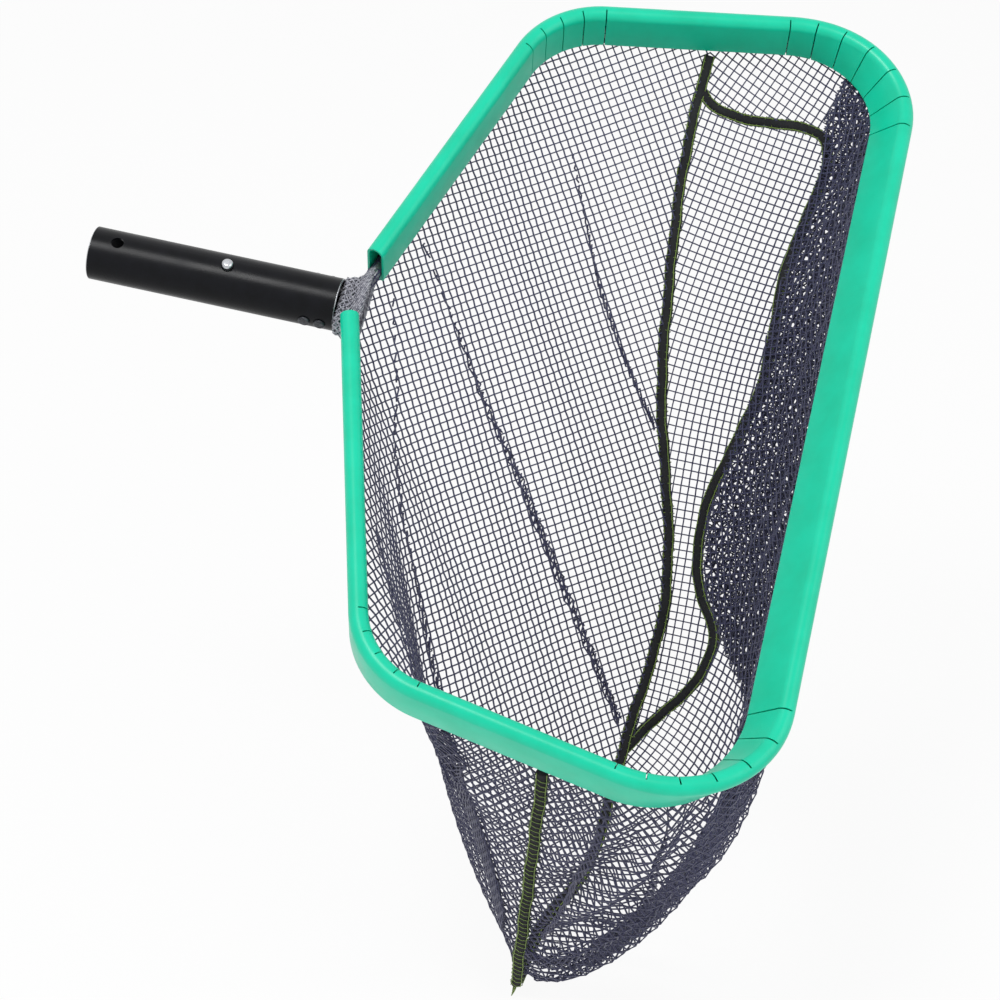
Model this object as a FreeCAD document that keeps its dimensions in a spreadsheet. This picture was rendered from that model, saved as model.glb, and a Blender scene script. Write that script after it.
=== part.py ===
import FreeCAD, Part

import math
import os

import Sketcher
from FreeCAD import Placement, Rotation, Vector

# Leaf skimmer net: a bent rod hoop on a short tube handle, a press-on plastic edge guard round the hoop,
# a deep net bag of sewn panels, and a spring clip whose two buttons lock the handle in a pole.
#
# Frame: millimetres, +Z up. The origin is the centre of the handle's open end, and +X runs along the
# handle towards the net. The hoop is rolled about the handle's axis, so its near side (-Y) hangs lower,
# and the bag hangs straight down from it.

DRIVING_SIZES = [
    ("tube_diameter", 28.6, "handle tube, outside"),
    ("tube_wall", 1.3, "handle tube, wall"),
    ("tube_length", 136.5, "handle tube"),
    ("tube_deburr", 0.35, "chamfer on the tube's outer end edges"),
    ("tie_hole_x", 14.6, "free cross hole, from the tube's open end"),
    ("button_hole_x", 75.4, "cross hole of the spring buttons, from the open end"),
    ("cross_hole_diameter", 6.7, "both pairs of cross holes"),
    ("rivet_setback", 7.4, "first rivet, from the tube's mouth"),
    ("rivet_pitch", 8.4, "from the first rivet to the second"),
    ("rivet_shank", 3.2, "pop rivet shank diameter"),
    ("rivet_head", 6.6, "pop rivet head diameter"),
    ("rivet_head_height", 1.2, "pop rivet head"),
    ("rivet_tail", 4.6, "set tail of the rivet, diameter"),
    ("rivet_tail_height", 1.6, "set tail of the rivet"),
    ("rod_diameter", 6.35, "hoop rod"),
    ("leg_inset", 34.0, "length of each rod leg inside the tube"),
    ("neck_gap", 5.5, "from the tube's mouth to where the shoulders would meet"),
    ("neck_bend", 10.0, "rod bend at the neck"),
    ("shoulder_reach", 67.5, "from the mouth to the shoulder corner"),
    ("shoulder_half_width", 212.0, "shoulder corner, from the handle's axis"),
    ("shoulder_bend", 50.0, "rod bend at the shoulder corner"),
    ("front_reach", 263.5, "from the mouth to the front edge"),
    ("front_half_width", 248.5, "front corner, from the handle's axis"),
    ("front_bend", 54.0, "rod bend at the front corner"),
    ("hoop_roll", 30.0, "roll of the hoop about the handle, degrees"),
    ("guard_width", 10.0, "edge guard, across"),
    ("guard_crest", 19.8, "edge guard, crest above the rod's centre"),
    ("guard_drop", 6.2, "edge guard, lip below the rod's centre"),
    ("guard_wall", 1.2, "edge guard, wall"),
    ("guard_slot", 2.6, "slot in the guard's underside that the net leaves by"),
    ("guard_edge", 1.5, "rounding of the guard's lower edges"),
    ("front_lean", 43.0, "outward lean of the guard along the front edge, degrees"),
    ("guard_start_far", 27.0, "guard's far end, along the shoulder from the axis"),
    ("guard_start_near", 15.0, "guard's near end, along the shoulder from the axis"),
    ("slit_width", 0.7, "relief slit in the guard's inner wall"),
    ("slit_pitch", 15.0, "spacing of the relief slits"),
    ("ply", 0.45, "one ply of net in the hem"),
    ("net_wall", 1.2, "net panels, as a closed skin"),
    ("hem_play", 0.05, "clearance of the hem round the rod"),
    ("hem_show", 0.25, "how far the hem's plies come out below the guard's lip"),
    ("rim_gap", 2.0, "from the guard's lip down to the panels' top edge"),
    ("seam_far_x", 295.0, "far end of the side seam, on the rim"),
    ("seam_near_x", 301.5, "near end of the side seam, on the rim"),
    ("tip_x", 303.0, "lowest point of the side seam"),
    ("tip_y", -118.0, "lowest point of the side seam"),
    ("tip_z", -326.0, "lowest point of the side seam"),
    ("near_tuck", 17.0, "how far the near side of the back panel is tucked in below the rim"),
    ("near_swell", 35.0, "how far the near side of the back panel swells out above the seam"),
    ("front_outward", 0.21, "outward slope of the front panel where it leaves the rim"),
    ("belly_slant", 52.0, "slant of the front panel where it comes up to the seam, degrees"),
    ("seam_clearance", 3.0, "from a seam's line to the edge of the panel beside it"),
    ("binding_width", 2.0, "seam binding, across the seam"),
    ("binding_depth", 6.0, "seam binding, standing out of the bag"),
    ("binding_start", 5.0, "seam binding, first point below the rim, and the near one's last before the tip"),
    ("sewing_gap", 0.3, "clearance of the hem before the tube's mouth, and of the tail under the binding"),
    ("tail_length", 9.0, "thread tail at the bag's tip"),
    ("tail_diameter", 3.0, "knot of the thread tail"),
    ("clip_width", 9.0, "spring clip strip, width"),
    ("clip_thickness", 0.7, "spring clip strip"),
    ("clip_apex_x", 24.0, "bend of the clip, from the tube's open end"),
    ("clip_apex_radius", 4.6, "outside of the clip's bend"),
    ("clip_flat", 11.0, "flat of each leaf under its button"),
    ("clip_wall_gap", 0.25, "leaf edge to the tube's inner wall"),
    ("button_diameter", 6.2, "lock button"),
    ("button_stand", 3.6, "lock button, above the tube"),
    ("button_round", 1.9, "rounding of the button's crown"),
    ("button_shank", 3.0, "rivet shank that holds a button on its leaf"),
    ("button_shank_play", 0.1, "radial play of that shank in the leaf"),
    ("button_foot", 4.8, "riveted foot inside the leaf, diameter"),
    ("button_foot_height", 0.8, "riveted foot"),
]

doc = FreeCAD.newDocument("leaf_skimmer_net")
sheet = doc.addObject("Spreadsheet::Sheet", "Sizes")
for row, (alias, value, note) in enumerate(DRIVING_SIZES, start=1):
    sheet.set(f"A{row}", alias)
    sheet.set(f"B{row}", str(value))
    sheet.setAlias(f"B{row}", alias)
    sheet.set(f"C{row}", note)
doc.recompute()


def size(alias):
    """A driving dimension, read from the sheet."""
    return float(sheet.get(alias))


ROLL = Rotation(Vector(1, 0, 0), size("hoop_roll"))
HOOP_PLACEMENT = Placement(Vector(0, 0, 0), ROLL)
PARTS = []


def keep(item, node, placement=None):
    """Name a finished sub-part and set it in the row's frame."""
    item.Label = node
    if placement is not None:
        item.Placement = placement
    PARTS.append(item)
    return item


def bind(item, **expressions):
    """Bind properties to formulas over the sheet's cells."""
    for prop, formula in expressions.items():
        item.setExpression(prop.replace("__", "."), formula)


def origin_plane(body, role):
    """One of a body's own origin planes."""
    return [f for f in body.Origin.OriginFeatures if f.Role == role][0]


def new_sketch(body, name, role):
    """A sketch on one of the body's origin planes."""
    sketch = body.newObject("Sketcher::SketchObject", name)
    sketch.AttachmentSupport = [(origin_plane(body, role), "")]
    sketch.MapMode = "FlatFace"
    return sketch


def circle_at(sketch, x_formula, y_formula, diameter_formula):
    """A circle whose centre and diameter follow the sheet."""
    index = sketch.addGeometry(Part.Circle(Vector(5, 5, 0), Vector(0, 0, 1), 1), False)
    for kind, formula in (("DistanceX", x_formula), ("DistanceY", y_formula)):
        if formula is None:
            axis = -1 if kind == "DistanceY" else -2
            sketch.addConstraint(Sketcher.Constraint("PointOnObject", index, 3, axis))
        else:
            number = sketch.addConstraint(Sketcher.Constraint(kind, -1, 1, index, 3, 5))
            sketch.setExpression(f"Constraints[{number}]", formula)
    number = sketch.addConstraint(Sketcher.Constraint("Diameter", index, 2))
    sketch.setExpression(f"Constraints[{number}]", diameter_formula)
    return index


def through_pocket(body, name, sketch):
    """A pocket right through the body, both ways from the sketch."""
    pocket = body.newObject("PartDesign::Pocket", name)
    pocket.Profile = sketch
    pocket.Type = 1
    pocket.Midplane = True
    sketch.Visibility = False
    return pocket


# Handle tube: cut tube, two pairs of cross holes in the hoop's normal, two pairs of rivet holes across
def handle_tube():
    body = doc.addObject("PartDesign::Body", "HandleTube")
    ring = new_sketch(body, "TubeRing", "YZ_Plane")
    circle_at(ring, None, None, "Sizes.tube_diameter")
    circle_at(ring, None, None, "Sizes.tube_diameter - 2 * Sizes.tube_wall")
    pad = body.newObject("PartDesign::Pad", "TubeLength")
    pad.Profile = ring
    bind(pad, Length="Sizes.tube_length")
    doc.recompute()
    outer_ends = [
        f"Edge{i}" for i, edge in enumerate(pad.Shape.Edges, start=1)
        if edge.Curve.TypeId == "Part::GeomCircle" and edge.Curve.Radius > size("tube_diameter") / 2 - 0.01
    ]
    deburr = body.newObject("PartDesign::Chamfer", "TubeDeburr")
    deburr.Base = (pad, outer_ends)
    bind(deburr, Size="Sizes.tube_deburr")
    cross = new_sketch(body, "CrossHoles", "XY_Plane")
    circle_at(cross, "Sizes.tie_hole_x", None, "Sizes.cross_hole_diameter")
    circle_at(cross, "Sizes.button_hole_x", None, "Sizes.cross_hole_diameter")
    through_pocket(body, "CrossHolePair", cross)
    rivets = new_sketch(body, "RivetHoles", "XZ_Plane")
    for formula in RIVET_X_FORMULAS:
        circle_at(rivets, formula, None, "Sizes.rivet_shank + 2 * Sizes.hem_play")
    through_pocket(body, "RivetHolePairs", rivets)
    keep(body, "handle_tube", HOOP_PLACEMENT)


RIVET_X_FORMULAS = [
    "Sizes.tube_length - Sizes.rivet_setback",
    "Sizes.tube_length - Sizes.rivet_setback - Sizes.rivet_pitch",
]
MOUTH_X = size("tube_length")
RIVET_X = [
    MOUTH_X - size("rivet_setback"),
    MOUTH_X - size("rivet_setback") - size("rivet_pitch"),
]
LEG_Y_FORMULA = "(Sizes.tube_diameter - Sizes.rod_diameter) / 2 - Sizes.tube_wall - Sizes.hem_play"
LEG_Y = (size("tube_diameter") - size("rod_diameter")) / 2 - size("tube_wall") - size("hem_play")
ROD_RADIUS = size("rod_diameter") / 2
APEX_X = MOUTH_X + size("neck_gap")
SHOULDER = Vector(MOUTH_X + size("shoulder_reach"), size("shoulder_half_width"), 0)
FRONT = Vector(MOUTH_X + size("front_reach"), size("front_half_width"), 0)
SHOULDER_SLOPE = (SHOULDER.x - APEX_X) / SHOULDER.y
NECK = Vector(APEX_X + LEG_Y * SHOULDER_SLOPE, LEG_Y, 0)


def rounded_path(corners, radii, first, last):
    """Straight runs and tangent arcs through a list of corners, as ('line', p, q) and
    ('arc', start, middle, end, centre) pieces in the hoop's plane."""
    pieces = []
    here = first
    stops = corners + [last]
    for i, corner in enumerate(corners):
        arrive = (corner - here).normalize()
        leave = (stops[i + 1] - corner).normalize()
        turn = math.acos(max(-1.0, min(1.0, arrive.dot(leave))))
        cut = radii[i] * math.tan(turn / 2)
        start = corner - arrive * cut
        end = corner + leave * cut
        inward = (leave - arrive).normalize()
        centre = corner + inward * (radii[i] / math.cos(turn / 2))
        middle = centre - inward * radii[i]
        pieces.append(("line", here, start))
        pieces.append(("arc", start, middle, end, centre))
        here = end
    pieces.append(("line", here, last))
    return pieces


def mirrored(point):
    """The same point on the hoop's near side."""
    return Vector(point.x, -point.y, point.z)


# Hoop rod: half of it is a pipe along a constrained sketch, and a mirror makes the other half
def frame_rod():
    body = doc.addObject("PartDesign::Body", "FrameRod")
    path = new_sketch(body, "HoopPath", "XY_Plane")
    start = Vector(MOUTH_X - size("leg_inset"), LEG_Y, 0)
    end = Vector(FRONT.x, 0, 0)
    pieces = rounded_path(
        [NECK, SHOULDER, FRONT],
        [size("neck_bend"), size("shoulder_bend"), size("front_bend")],
        start, end,
    )
    for piece in pieces:
        if piece[0] == "line":
            path.addGeometry(Part.LineSegment(piece[1], piece[2]), False)
        else:
            path.addGeometry(Part.Arc(piece[1], piece[2], piece[3]), False)
    last = len(pieces) - 1
    for i in range(last):
        this_end = nearest_end(path, i, pieces[i][-1] if pieces[i][0] == "line" else pieces[i][3])
        next_start = nearest_end(path, i + 1, pieces[i + 1][1])
        path.addConstraint(Sketcher.Constraint("Tangent", i, this_end, i + 1, next_start))
    for arc, name in ((1, "neck_bend"), (3, "shoulder_bend"), (5, "front_bend")):
        number = path.addConstraint(Sketcher.Constraint("Radius", arc, size(name)))
        path.setExpression(f"Constraints[{number}]", f"Sizes.{name}")
    corner_formulas = [
        ("Sizes.tube_length + Sizes.neck_gap + (" + LEG_Y_FORMULA + ") * (Sizes.shoulder_reach"
         " - Sizes.neck_gap) / Sizes.shoulder_half_width", LEG_Y_FORMULA),
        ("Sizes.tube_length + Sizes.shoulder_reach", "Sizes.shoulder_half_width"),
        ("Sizes.tube_length + Sizes.front_reach", "Sizes.front_half_width"),
    ]
    for i, corner in enumerate((NECK, SHOULDER, FRONT)):
        point = path.addGeometry(Part.Point(corner), True)
        place_point(path, point, 1, corner, *corner_formulas[i])
        path.addConstraint(Sketcher.Constraint("PointOnObject", point, 1, 2 * i))
        path.addConstraint(Sketcher.Constraint("PointOnObject", point, 1, 2 * i + 2))
    place_point(path, 0, 1, start, "Sizes.tube_length - Sizes.leg_inset", LEG_Y_FORMULA)
    path.addConstraint(Sketcher.Constraint("PointOnObject", last, 2, -1))
    path.addConstraint(Sketcher.Constraint("Vertical", last))
    section = new_sketch(body, "RodSection", "YZ_Plane")
    bind(section, AttachmentOffset__Base__z="Sizes.tube_length - Sizes.leg_inset")
    circle_at(section, LEG_Y_FORMULA, None, "Sizes.rod_diameter")
    doc.recompute()
    pipe = body.newObject("PartDesign::AdditivePipe", "RodPipe")
    pipe.Profile = section
    pipe.Spine = (path, [])
    holes = new_sketch(body, "LegHoles", "XZ_Plane")
    for formula in RIVET_X_FORMULAS:
        circle_at(holes, formula, None, "Sizes.rivet_shank + 2 * Sizes.hem_play")
    drilled = through_pocket(body, "LegHolePair", holes)
    mirror = body.newObject("PartDesign::Mirrored", "RodMirror")
    mirror.Originals = [pipe, drilled]
    mirror.MirrorPlane = (origin_plane(body, "XZ_Plane"), [""])
    body.Tip = mirror
    keep(body, "frame_rod", HOOP_PLACEMENT)


def nearest_end(sketch, index, point):
    """Which end of a sketch edge, 1 or 2, lies at the point."""
    first = sketch.getPoint(index, 1)
    second = sketch.getPoint(index, 2)
    return 1 if (first - point).Length < (second - point).Length else 2


def place_point(sketch, index, vertex, point, x_formula, y_formula):
    """Hold a sketch vertex at a place that follows the sheet."""
    for kind, value, formula in (("DistanceX", point.x, x_formula), ("DistanceY", point.y, y_formula)):
        number = sketch.addConstraint(Sketcher.Constraint(kind, -1, 1, index, vertex, value))
        sketch.setExpression(f"Constraints[{number}]", formula)


# Four pop rivets: each holds a rod leg to the tube's wall
def leg_rivets():
    rivets = []
    outside = size("tube_diameter") / 2
    leg_inner_face = LEG_Y - ROD_RADIUS
    for side in (1, -1):
        for i, x in enumerate(RIVET_X):
            name = f"Rivet{'Far' if side > 0 else 'Near'}{i + 1}"
            turn = Rotation(Vector(1, 0, 0), -90 * side)
            stages = [
                ("Head", "Sizes.rivet_head / 2", "Sizes.rivet_head_height", outside),
                ("Shank", "Sizes.rivet_shank / 2",
                 "Sizes.tube_diameter / 2 - (" + LEG_Y_FORMULA + ") + Sizes.rod_diameter / 2", leg_inner_face),
                ("Tail", "Sizes.rivet_tail / 2", "Sizes.rivet_tail_height",
                 leg_inner_face - size("rivet_tail_height")),
            ]
            pieces = []
            for stage, radius, height, start in stages:
                cylinder = doc.addObject("Part::Cylinder", name + stage)
                bind(cylinder, Radius=radius, Height=height)
                cylinder.Placement = Placement(Vector(x, side * start, 0), turn)
                pieces.append(cylinder)
            whole = doc.addObject("Part::MultiFuse", name)
            whole.Shapes = pieces
            doc.recompute()
            crown = doc.addObject("Part::Fillet", name + "Crown")
            crown.Base = whole
            rim = rim_edge(whole.Shape, side * (outside + size("rivet_head_height")), "y")
            rounding = size("rivet_head_height") * 0.75
            crown.Edges = [(rim, rounding, rounding)]
            rivets.append(crown)
    group = doc.addObject("Part::Compound", "LegRivets")
    group.Links = rivets
    keep(group, "leg_rivets", HOOP_PLACEMENT)


def rim_edge(shape, level, axis):
    """Number of the circular edge that lies in the plane where one coordinate has the given level."""
    for i, edge in enumerate(shape.Edges, start=1):
        if edge.Curve.TypeId == "Part::GeomCircle" and abs(getattr(edge.Curve.Center, axis) - level) < 1e-6:
            return i
    raise RuntimeError("no circular edge at that level")


# Press-on edge guard: an inverted U over the rod, whose slot lets the net out below
def hoop_run(first, corners, radii, last):
    """Pieces of the hoop's centre line from its far end round to its near end. Each has the guard's
    lean at its two ends: none, but for the front straight, and the front bends turn from one to the other."""
    pieces = rounded_path(corners, radii, first, last)
    middle = len(pieces) // 2
    lean = size("front_lean")
    run = []
    for i, piece in enumerate(pieces):
        before = lean if i in (middle, middle + 1) else 0
        after = lean if i in (middle - 1, middle) else 0
        run.append((piece, before, after))
    return run


SHOULDER_WAY = Vector(SHOULDER.x - APEX_X, SHOULDER.y, 0).normalize()
HALF_CORNERS = [NECK, SHOULDER, FRONT]
HALF_RADII = [size("neck_bend"), size("shoulder_bend"), size("front_bend")]
ALL_CORNERS = HALF_CORNERS + [mirrored(corner) for corner in reversed(HALF_CORNERS)]
ALL_RADII = HALF_RADII + HALF_RADII[::-1]
GUARD_RUN = hoop_run(
    Vector(APEX_X, 0, 0) + SHOULDER_WAY * size("guard_start_far"), ALL_CORNERS[1:-1], ALL_RADII[1:-1],
    Vector(APEX_X, 0, 0) + mirrored(SHOULDER_WAY) * size("guard_start_near"),
)
HEM_RUN = hoop_run(
    Vector(MOUTH_X + size("sewing_gap"), LEG_Y, 0), ALL_CORNERS, ALL_RADII,
    Vector(MOUTH_X + size("sewing_gap"), -LEG_Y, 0),
)


def station(stretch, share):
    """Centre, axes across and up the section, and way along the hoop, at a share of one stretch."""
    piece, before, after = stretch
    if piece[0] == "line":
        way = (piece[2] - piece[1]).normalize()
        centre = piece[1] + (piece[2] - piece[1]) * share
    else:
        spoke = piece[1] - piece[4]
        axis = Vector(0, 0, turn_sign(piece))
        turn = math.degrees(spoke.getAngle(piece[3] - piece[4])) * share
        spoke = Rotation(axis, turn).multVec(spoke)
        centre = piece[4] + spoke
        way = axis.cross(spoke).normalize()
    outward = Vector(-way.y, way.x, 0)
    ease = share * share * (3 - 2 * share)
    tilt = math.radians(before + (after - before) * ease)
    across = outward * math.cos(tilt) - Vector(0, 0, math.sin(tilt))
    up = outward * math.sin(tilt) + Vector(0, 0, math.cos(tilt))
    return centre, across, up, way


def turn_sign(piece):
    """1 where an arc turns to the left on its way, as at the neck, and -1 where it turns to the right."""
    across = (piece[2] - piece[1]).cross(piece[3] - piece[2]).z
    return 1 if across > 0 else -1


def section_wire(outline, place):
    """A section's outline set square to the hoop at one station."""
    centre, across, up, way = place

    def spot(p):
        return centre + across * p[0] + up * p[1]

    edges = []
    for part in outline:
        if len(part) == 2:
            edges.append(Part.LineSegment(spot(part[0]), spot(part[1])).toShape())
        else:
            edges.append(Part.Arc(spot(part[0]), spot(part[1]), spot(part[2])).toShape())
    return Part.Wire(edges)


def along_hoop(outline, run):
    """A solid of one section along a run. It turns with the lean round the front corners."""
    turn_steps = 16
    solids = []
    for stretch in run:
        piece, before, after = stretch
        first = section_wire(outline, station(stretch, 0))
        if piece[0] == "line":
            solids.append(Part.Face(first).extrude(piece[2] - piece[1]))
        elif before == after:
            angle = math.degrees((piece[1] - piece[4]).getAngle(piece[3] - piece[4]))
            axis = Vector(0, 0, turn_sign(piece))
            solids.append(Part.Face(first).revolve(piece[4], axis, angle))
        else:
            places = [station(stretch, step / turn_steps) for step in range(turn_steps + 1)]
            solids.append(Part.makeLoft([section_wire(outline, place) for place in places], True, True))
    return solids[0].multiFuse(solids[1:]).removeSplitter()


def guard_outline():
    """Section of the guard: lips, straight walls and a domed crest, about the rod's centre."""
    half = size("guard_width") / 2
    inner = half - size("guard_wall")
    lip = size("guard_slot") / 2
    low = -size("guard_drop")
    edge = size("guard_edge")
    dome = size("guard_crest") - half
    seat = -math.sqrt(inner * inner - lip * lip)
    diagonal = math.sqrt(0.5)
    right = [
        ((lip, low), (half - edge, low)),
        ((half - edge, low), (half - edge + edge * diagonal, low + edge - edge * diagonal), (half, low + edge)),
        ((half, low + edge), (half, dome)),
    ]
    crest = [((half, dome), (0, dome + half), (-half, dome))]
    left = [tuple((-x, z) for x, z in reversed(part)) for part in reversed(right)]
    inside = [
        ((-lip, low), (-lip, seat)),
        ((-lip, seat), (-inner * diagonal, -inner * diagonal), (-inner, 0)),
        ((-inner, 0), (-inner, dome)),
        ((-inner, dome), (0, dome + inner), (inner, dome)),
        ((inner, dome), (inner, 0)),
        ((inner, 0), (inner * diagonal, -inner * diagonal), (lip, seat)),
        ((lip, seat), (lip, low)),
    ]
    return right + crest + left + inside


def slit_stations():
    """Where the relief slits are cut: at even steps round each bend."""
    places = []
    for stretch in GUARD_RUN:
        piece = stretch[0]
        if piece[0] == "arc":
            spoke = piece[1] - piece[4]
            count = round(spoke.getAngle(piece[3] - piece[4]) * spoke.Length / size("slit_pitch"))
            places += [station(stretch, k / count) for k in range(count + 1)]
    return places


def edge_guard():
    guard = along_hoop(guard_outline(), GUARD_RUN)
    reach = size("guard_width")
    width = size("slit_width")
    low = -size("guard_drop") - 1
    crest = size("guard_crest") - size("guard_wall") / 2
    slits = []
    for centre, across, up, way in slit_stations():
        slit = Part.makeBox(reach, width, crest - low, Vector(-reach, -width / 2, low))
        frame = FreeCAD.Matrix(
            across.x, way.x, up.x, centre.x,
            across.y, way.y, up.y, centre.y,
            across.z, way.z, up.z, centre.z,
            0, 0, 0, 1,
        )
        slits.append(slit.transformGeometry(frame))
    feature = doc.addObject("Part::Feature", "EdgeGuard")
    feature.Shape = guard.cut(slits)
    keep(feature, "edge_guard", HOOP_PLACEMENT)


# Hem: the net's edge goes over the rod inside the guard, and its two plies leave by the slot
def net_hem():
    inner = ROD_RADIUS + size("hem_play")
    outer = inner + size("ply")
    gap = size("hem_play")
    face = gap + size("ply")
    low = -size("guard_drop") - size("hem_show")
    outer_start = -math.sqrt(outer * outer - face * face)
    inner_start = -math.sqrt(inner * inner - gap * gap)
    outline = [
        ((face, low), (face, outer_start)),
        ((face, outer_start), (outer, 0), (0, outer)),
        ((0, outer), (-outer, 0), (-face, outer_start)),
        ((-face, outer_start), (-face, low)),
        ((-face, low), (-gap, low)),
        ((-gap, low), (-gap, inner_start)),
        ((-gap, inner_start), (-inner, 0), (0, inner)),
        ((0, inner), (inner, 0), (gap, inner_start)),
        ((gap, inner_start), (gap, low)),
        ((gap, low), (face, low)),
    ]
    feature = doc.addObject("Part::Feature", "NetHem")
    feature.Shape = along_hoop(outline, HEM_RUN)
    keep(feature, "net_hem", HOOP_PLACEMENT)


# Bag: thin closed panels between the rim under the guard and the seam that runs from side to side.
# The shares here are read along the rim, along the seam and down the cloth, each from 0 to 1.
SIDE_SEAM_POINTS = [
    (293, 178, 53), (300, 137, -17), (310, 104, -72), (326, 76, -122), (337, 40, -176), (333, 8, -222),
    (330, -25, -262), (325, -64, -285), (310, -98, -297),
]
BACK_FALL = [(0, 0), (0.2, 0.36), (0.42, 0.58), (0.5, 0.63), (0.6, 0.73), (0.8, 0.90), (1, 1)]
FRONT_FALL = [(0, 0), (0.2, 0.2), (0.5, 0.5), (0.75, 0.68), (0.88, 0.80), (1, 1)]
FRONT_DROP = [(0, 0.3), (0.3, 0.3), (0.6, 0.69), (0.8, 0.36), (1, 0.36)]
FRONT_BELLY = [(0, 0.1), (0.3, 0.1), (0.6, 0.48), (0.8, 0.16), (1, 0.12)]
NEAR_FOLD = [(0, 0), (0.5, 0.1), (0.65, 1), (0.85, 1), (1, 0)]
GUSSET_SEAM = [
    (0.03, 0.90), (0.06, 0.58), (0.1, 0.36), (0.14, 0.25), (0.2, 0.42), (0.3, 0.51), (0.36, 0.78),
    (0.4, 0.78), (0.434, 0.70), (0.48, 0.89), (0.54, 1.0),
]
DIVISIONS = 480
SHARE_STEP = 0.004


def blend(table, share):
    """Read a table of (share, value) pairs by straight interpolation."""
    for (a, first), (b, second) in zip(table, table[1:]):
        if share <= b:
            return first + (second - first) * max(0.0, share - a) / (b - a)
    return table[-1][1]


def pick(line, share):
    """The point at a share of an evenly divided line."""
    place = max(0.0, min(1.0, share)) * (len(line) - 1)
    low = min(int(place), len(line) - 2)
    return line[low] + (line[low + 1] - line[low]) * (place - low)


def evenly(points, count):
    """A line through the points, divided in equal steps along its straight runs."""
    lengths = [0.0]
    for a, b in zip(points, points[1:]):
        lengths.append(lengths[-1] + (b - a).Length)
    result = []
    segment = 0
    for k in range(count):
        want = lengths[-1] * k / (count - 1)
        while segment < len(points) - 2 and lengths[segment + 1] < want:
            segment += 1
        share = (want - lengths[segment]) / (lengths[segment + 1] - lengths[segment])
        result.append(points[segment] + (points[segment + 1] - points[segment]) * min(1.0, share))
    return result


def rim_point(stretch, share):
    """A point just below the guard's slot."""
    centre, across, up, way = station(stretch, share)
    return ROLL.multVec(centre - up * (size("guard_drop") + size("rim_gap")))


def rim_points():
    """Points of the rim, from the far side of the neck round to its near side."""
    points = []
    for stretch in HEM_RUN[1:-1]:
        steps = 12 if stretch[0][0] == "arc" else 16
        points += [rim_point(stretch, step / steps) for step in range(steps)]
    return points + [rim_point(HEM_RUN[-2], 1)]


def rim_halves():
    """The rim cut at the side seams: the back half and the front half, each from far to near."""
    points = rim_points()
    far = [i for i, p in enumerate(points) if p.x > size("seam_far_x")][0]
    near = [i for i, p in enumerate(points) if p.x > size("seam_near_x")][-1]
    far_end = crossing(points[far - 1], points[far], size("seam_far_x"))
    near_end = crossing(points[near + 1], points[near], size("seam_near_x"))
    front = [far_end] + points[far:near + 1] + [near_end]
    back = [far_end] + points[:far][::-1] + points[near + 1:][::-1] + [near_end]
    return evenly(back, DIVISIONS), evenly(front, DIVISIONS)


def crossing(behind, ahead, x):
    """Where the line between two points has the given x."""
    return behind + (ahead - behind) * ((x - behind.x) / (ahead.x - behind.x))


BACK_RIM, FRONT_RIM = rim_halves()
TIP = Vector(size("tip_x"), size("tip_y"), size("tip_z"))
FAR_SEAM = Part.BSplineCurve()
FAR_SEAM.interpolate([BACK_RIM[0]] + [Vector(*p) for p in SIDE_SEAM_POINTS] + [TIP])
SIDE_SEAM = evenly(FAR_SEAM.toShape().discretize(DIVISIONS) + [BACK_RIM[-1]], DIVISIONS)
TIP_INDEX = min(range(DIVISIONS), key=lambda i: (SIDE_SEAM[i] - TIP).Length)
BAG_MIDDLE = Vector(size("seam_near_x"), 0, size("tip_z") / 3)


def hanging(top, top_pull, foot_pull, foot, share):
    """A point down the cloth, on the curve that leaves the rim and the seam by the two pulls."""
    rest = 1 - share
    return (
        top * rest ** 3
        + (top + top_pull) * (3 * share * rest ** 2)
        + (foot + foot_pull) * (3 * share ** 2 * rest)
        + foot * share ** 3
    )


def back_cloth(u, share):
    """The back of the bag from the rim to the side seam."""
    top = pick(BACK_RIM, u)
    foot = pick(SIDE_SEAM, blend(BACK_FALL, u))
    fold = blend(NEAR_FOLD, u)
    top_pull = (foot - top) / 3 + Vector(size("near_tuck") * fold, 0, 0)
    foot_pull = (top - foot) / 3 - Vector(size("near_swell") * fold, 0, 0)
    return hanging(top, top_pull, foot_pull, foot, share)


def front_cloth(u, share):
    """The front of the bag from the rim to the side seam, before it is cut for the gusset."""
    top = pick(FRONT_RIM, u)
    foot = pick(SIDE_SEAM, blend(FRONT_FALL, u))
    length = (foot - top).Length
    slant = math.radians(size("belly_slant"))
    top_pull = Vector(size("front_outward"), 0, -1) * (length * blend(FRONT_DROP, u))
    foot_pull = Vector(math.cos(slant), 0, -math.sin(slant)) * (length * blend(FRONT_BELLY, u))
    return hanging(top, top_pull, foot_pull, foot, share)


GUSSET_SHARES = [0.025 + 0.515 * k / 120 for k in range(121)]
GUSSET_STATIONS = [front_cloth(u, blend(GUSSET_SEAM, u)) for u in GUSSET_SHARES]
GUSSET_LINE = evenly(GUSSET_STATIONS, DIVISIONS)


def clear_share(cloth, u, share, step, lines):
    """The first share from a seam at which the cloth is clear of the seam lines."""
    while 0.04 < share + step <= 1:
        point = cloth(u, share)
        if all((point - p).Length > size("seam_clearance") for line in lines for p in line):
            break
        share += step
    return share


def down_cloth(cloth, u, top, foot, rows):
    """Points down the cloth between two shares."""
    return [cloth(u, top + (foot - top) * j / (rows - 1)) for j in range(rows)]


def back_column(u, rows):
    return down_cloth(back_cloth, u, 0, clear_share(back_cloth, u, 1, -SHARE_STEP, [SIDE_SEAM]), rows)


def front_column(u, rows):
    start = blend(GUSSET_SEAM, u)
    foot = clear_share(front_cloth, u, start, -SHARE_STEP, [GUSSET_LINE, SIDE_SEAM])
    return down_cloth(front_cloth, u, 0, foot, rows)


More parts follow.
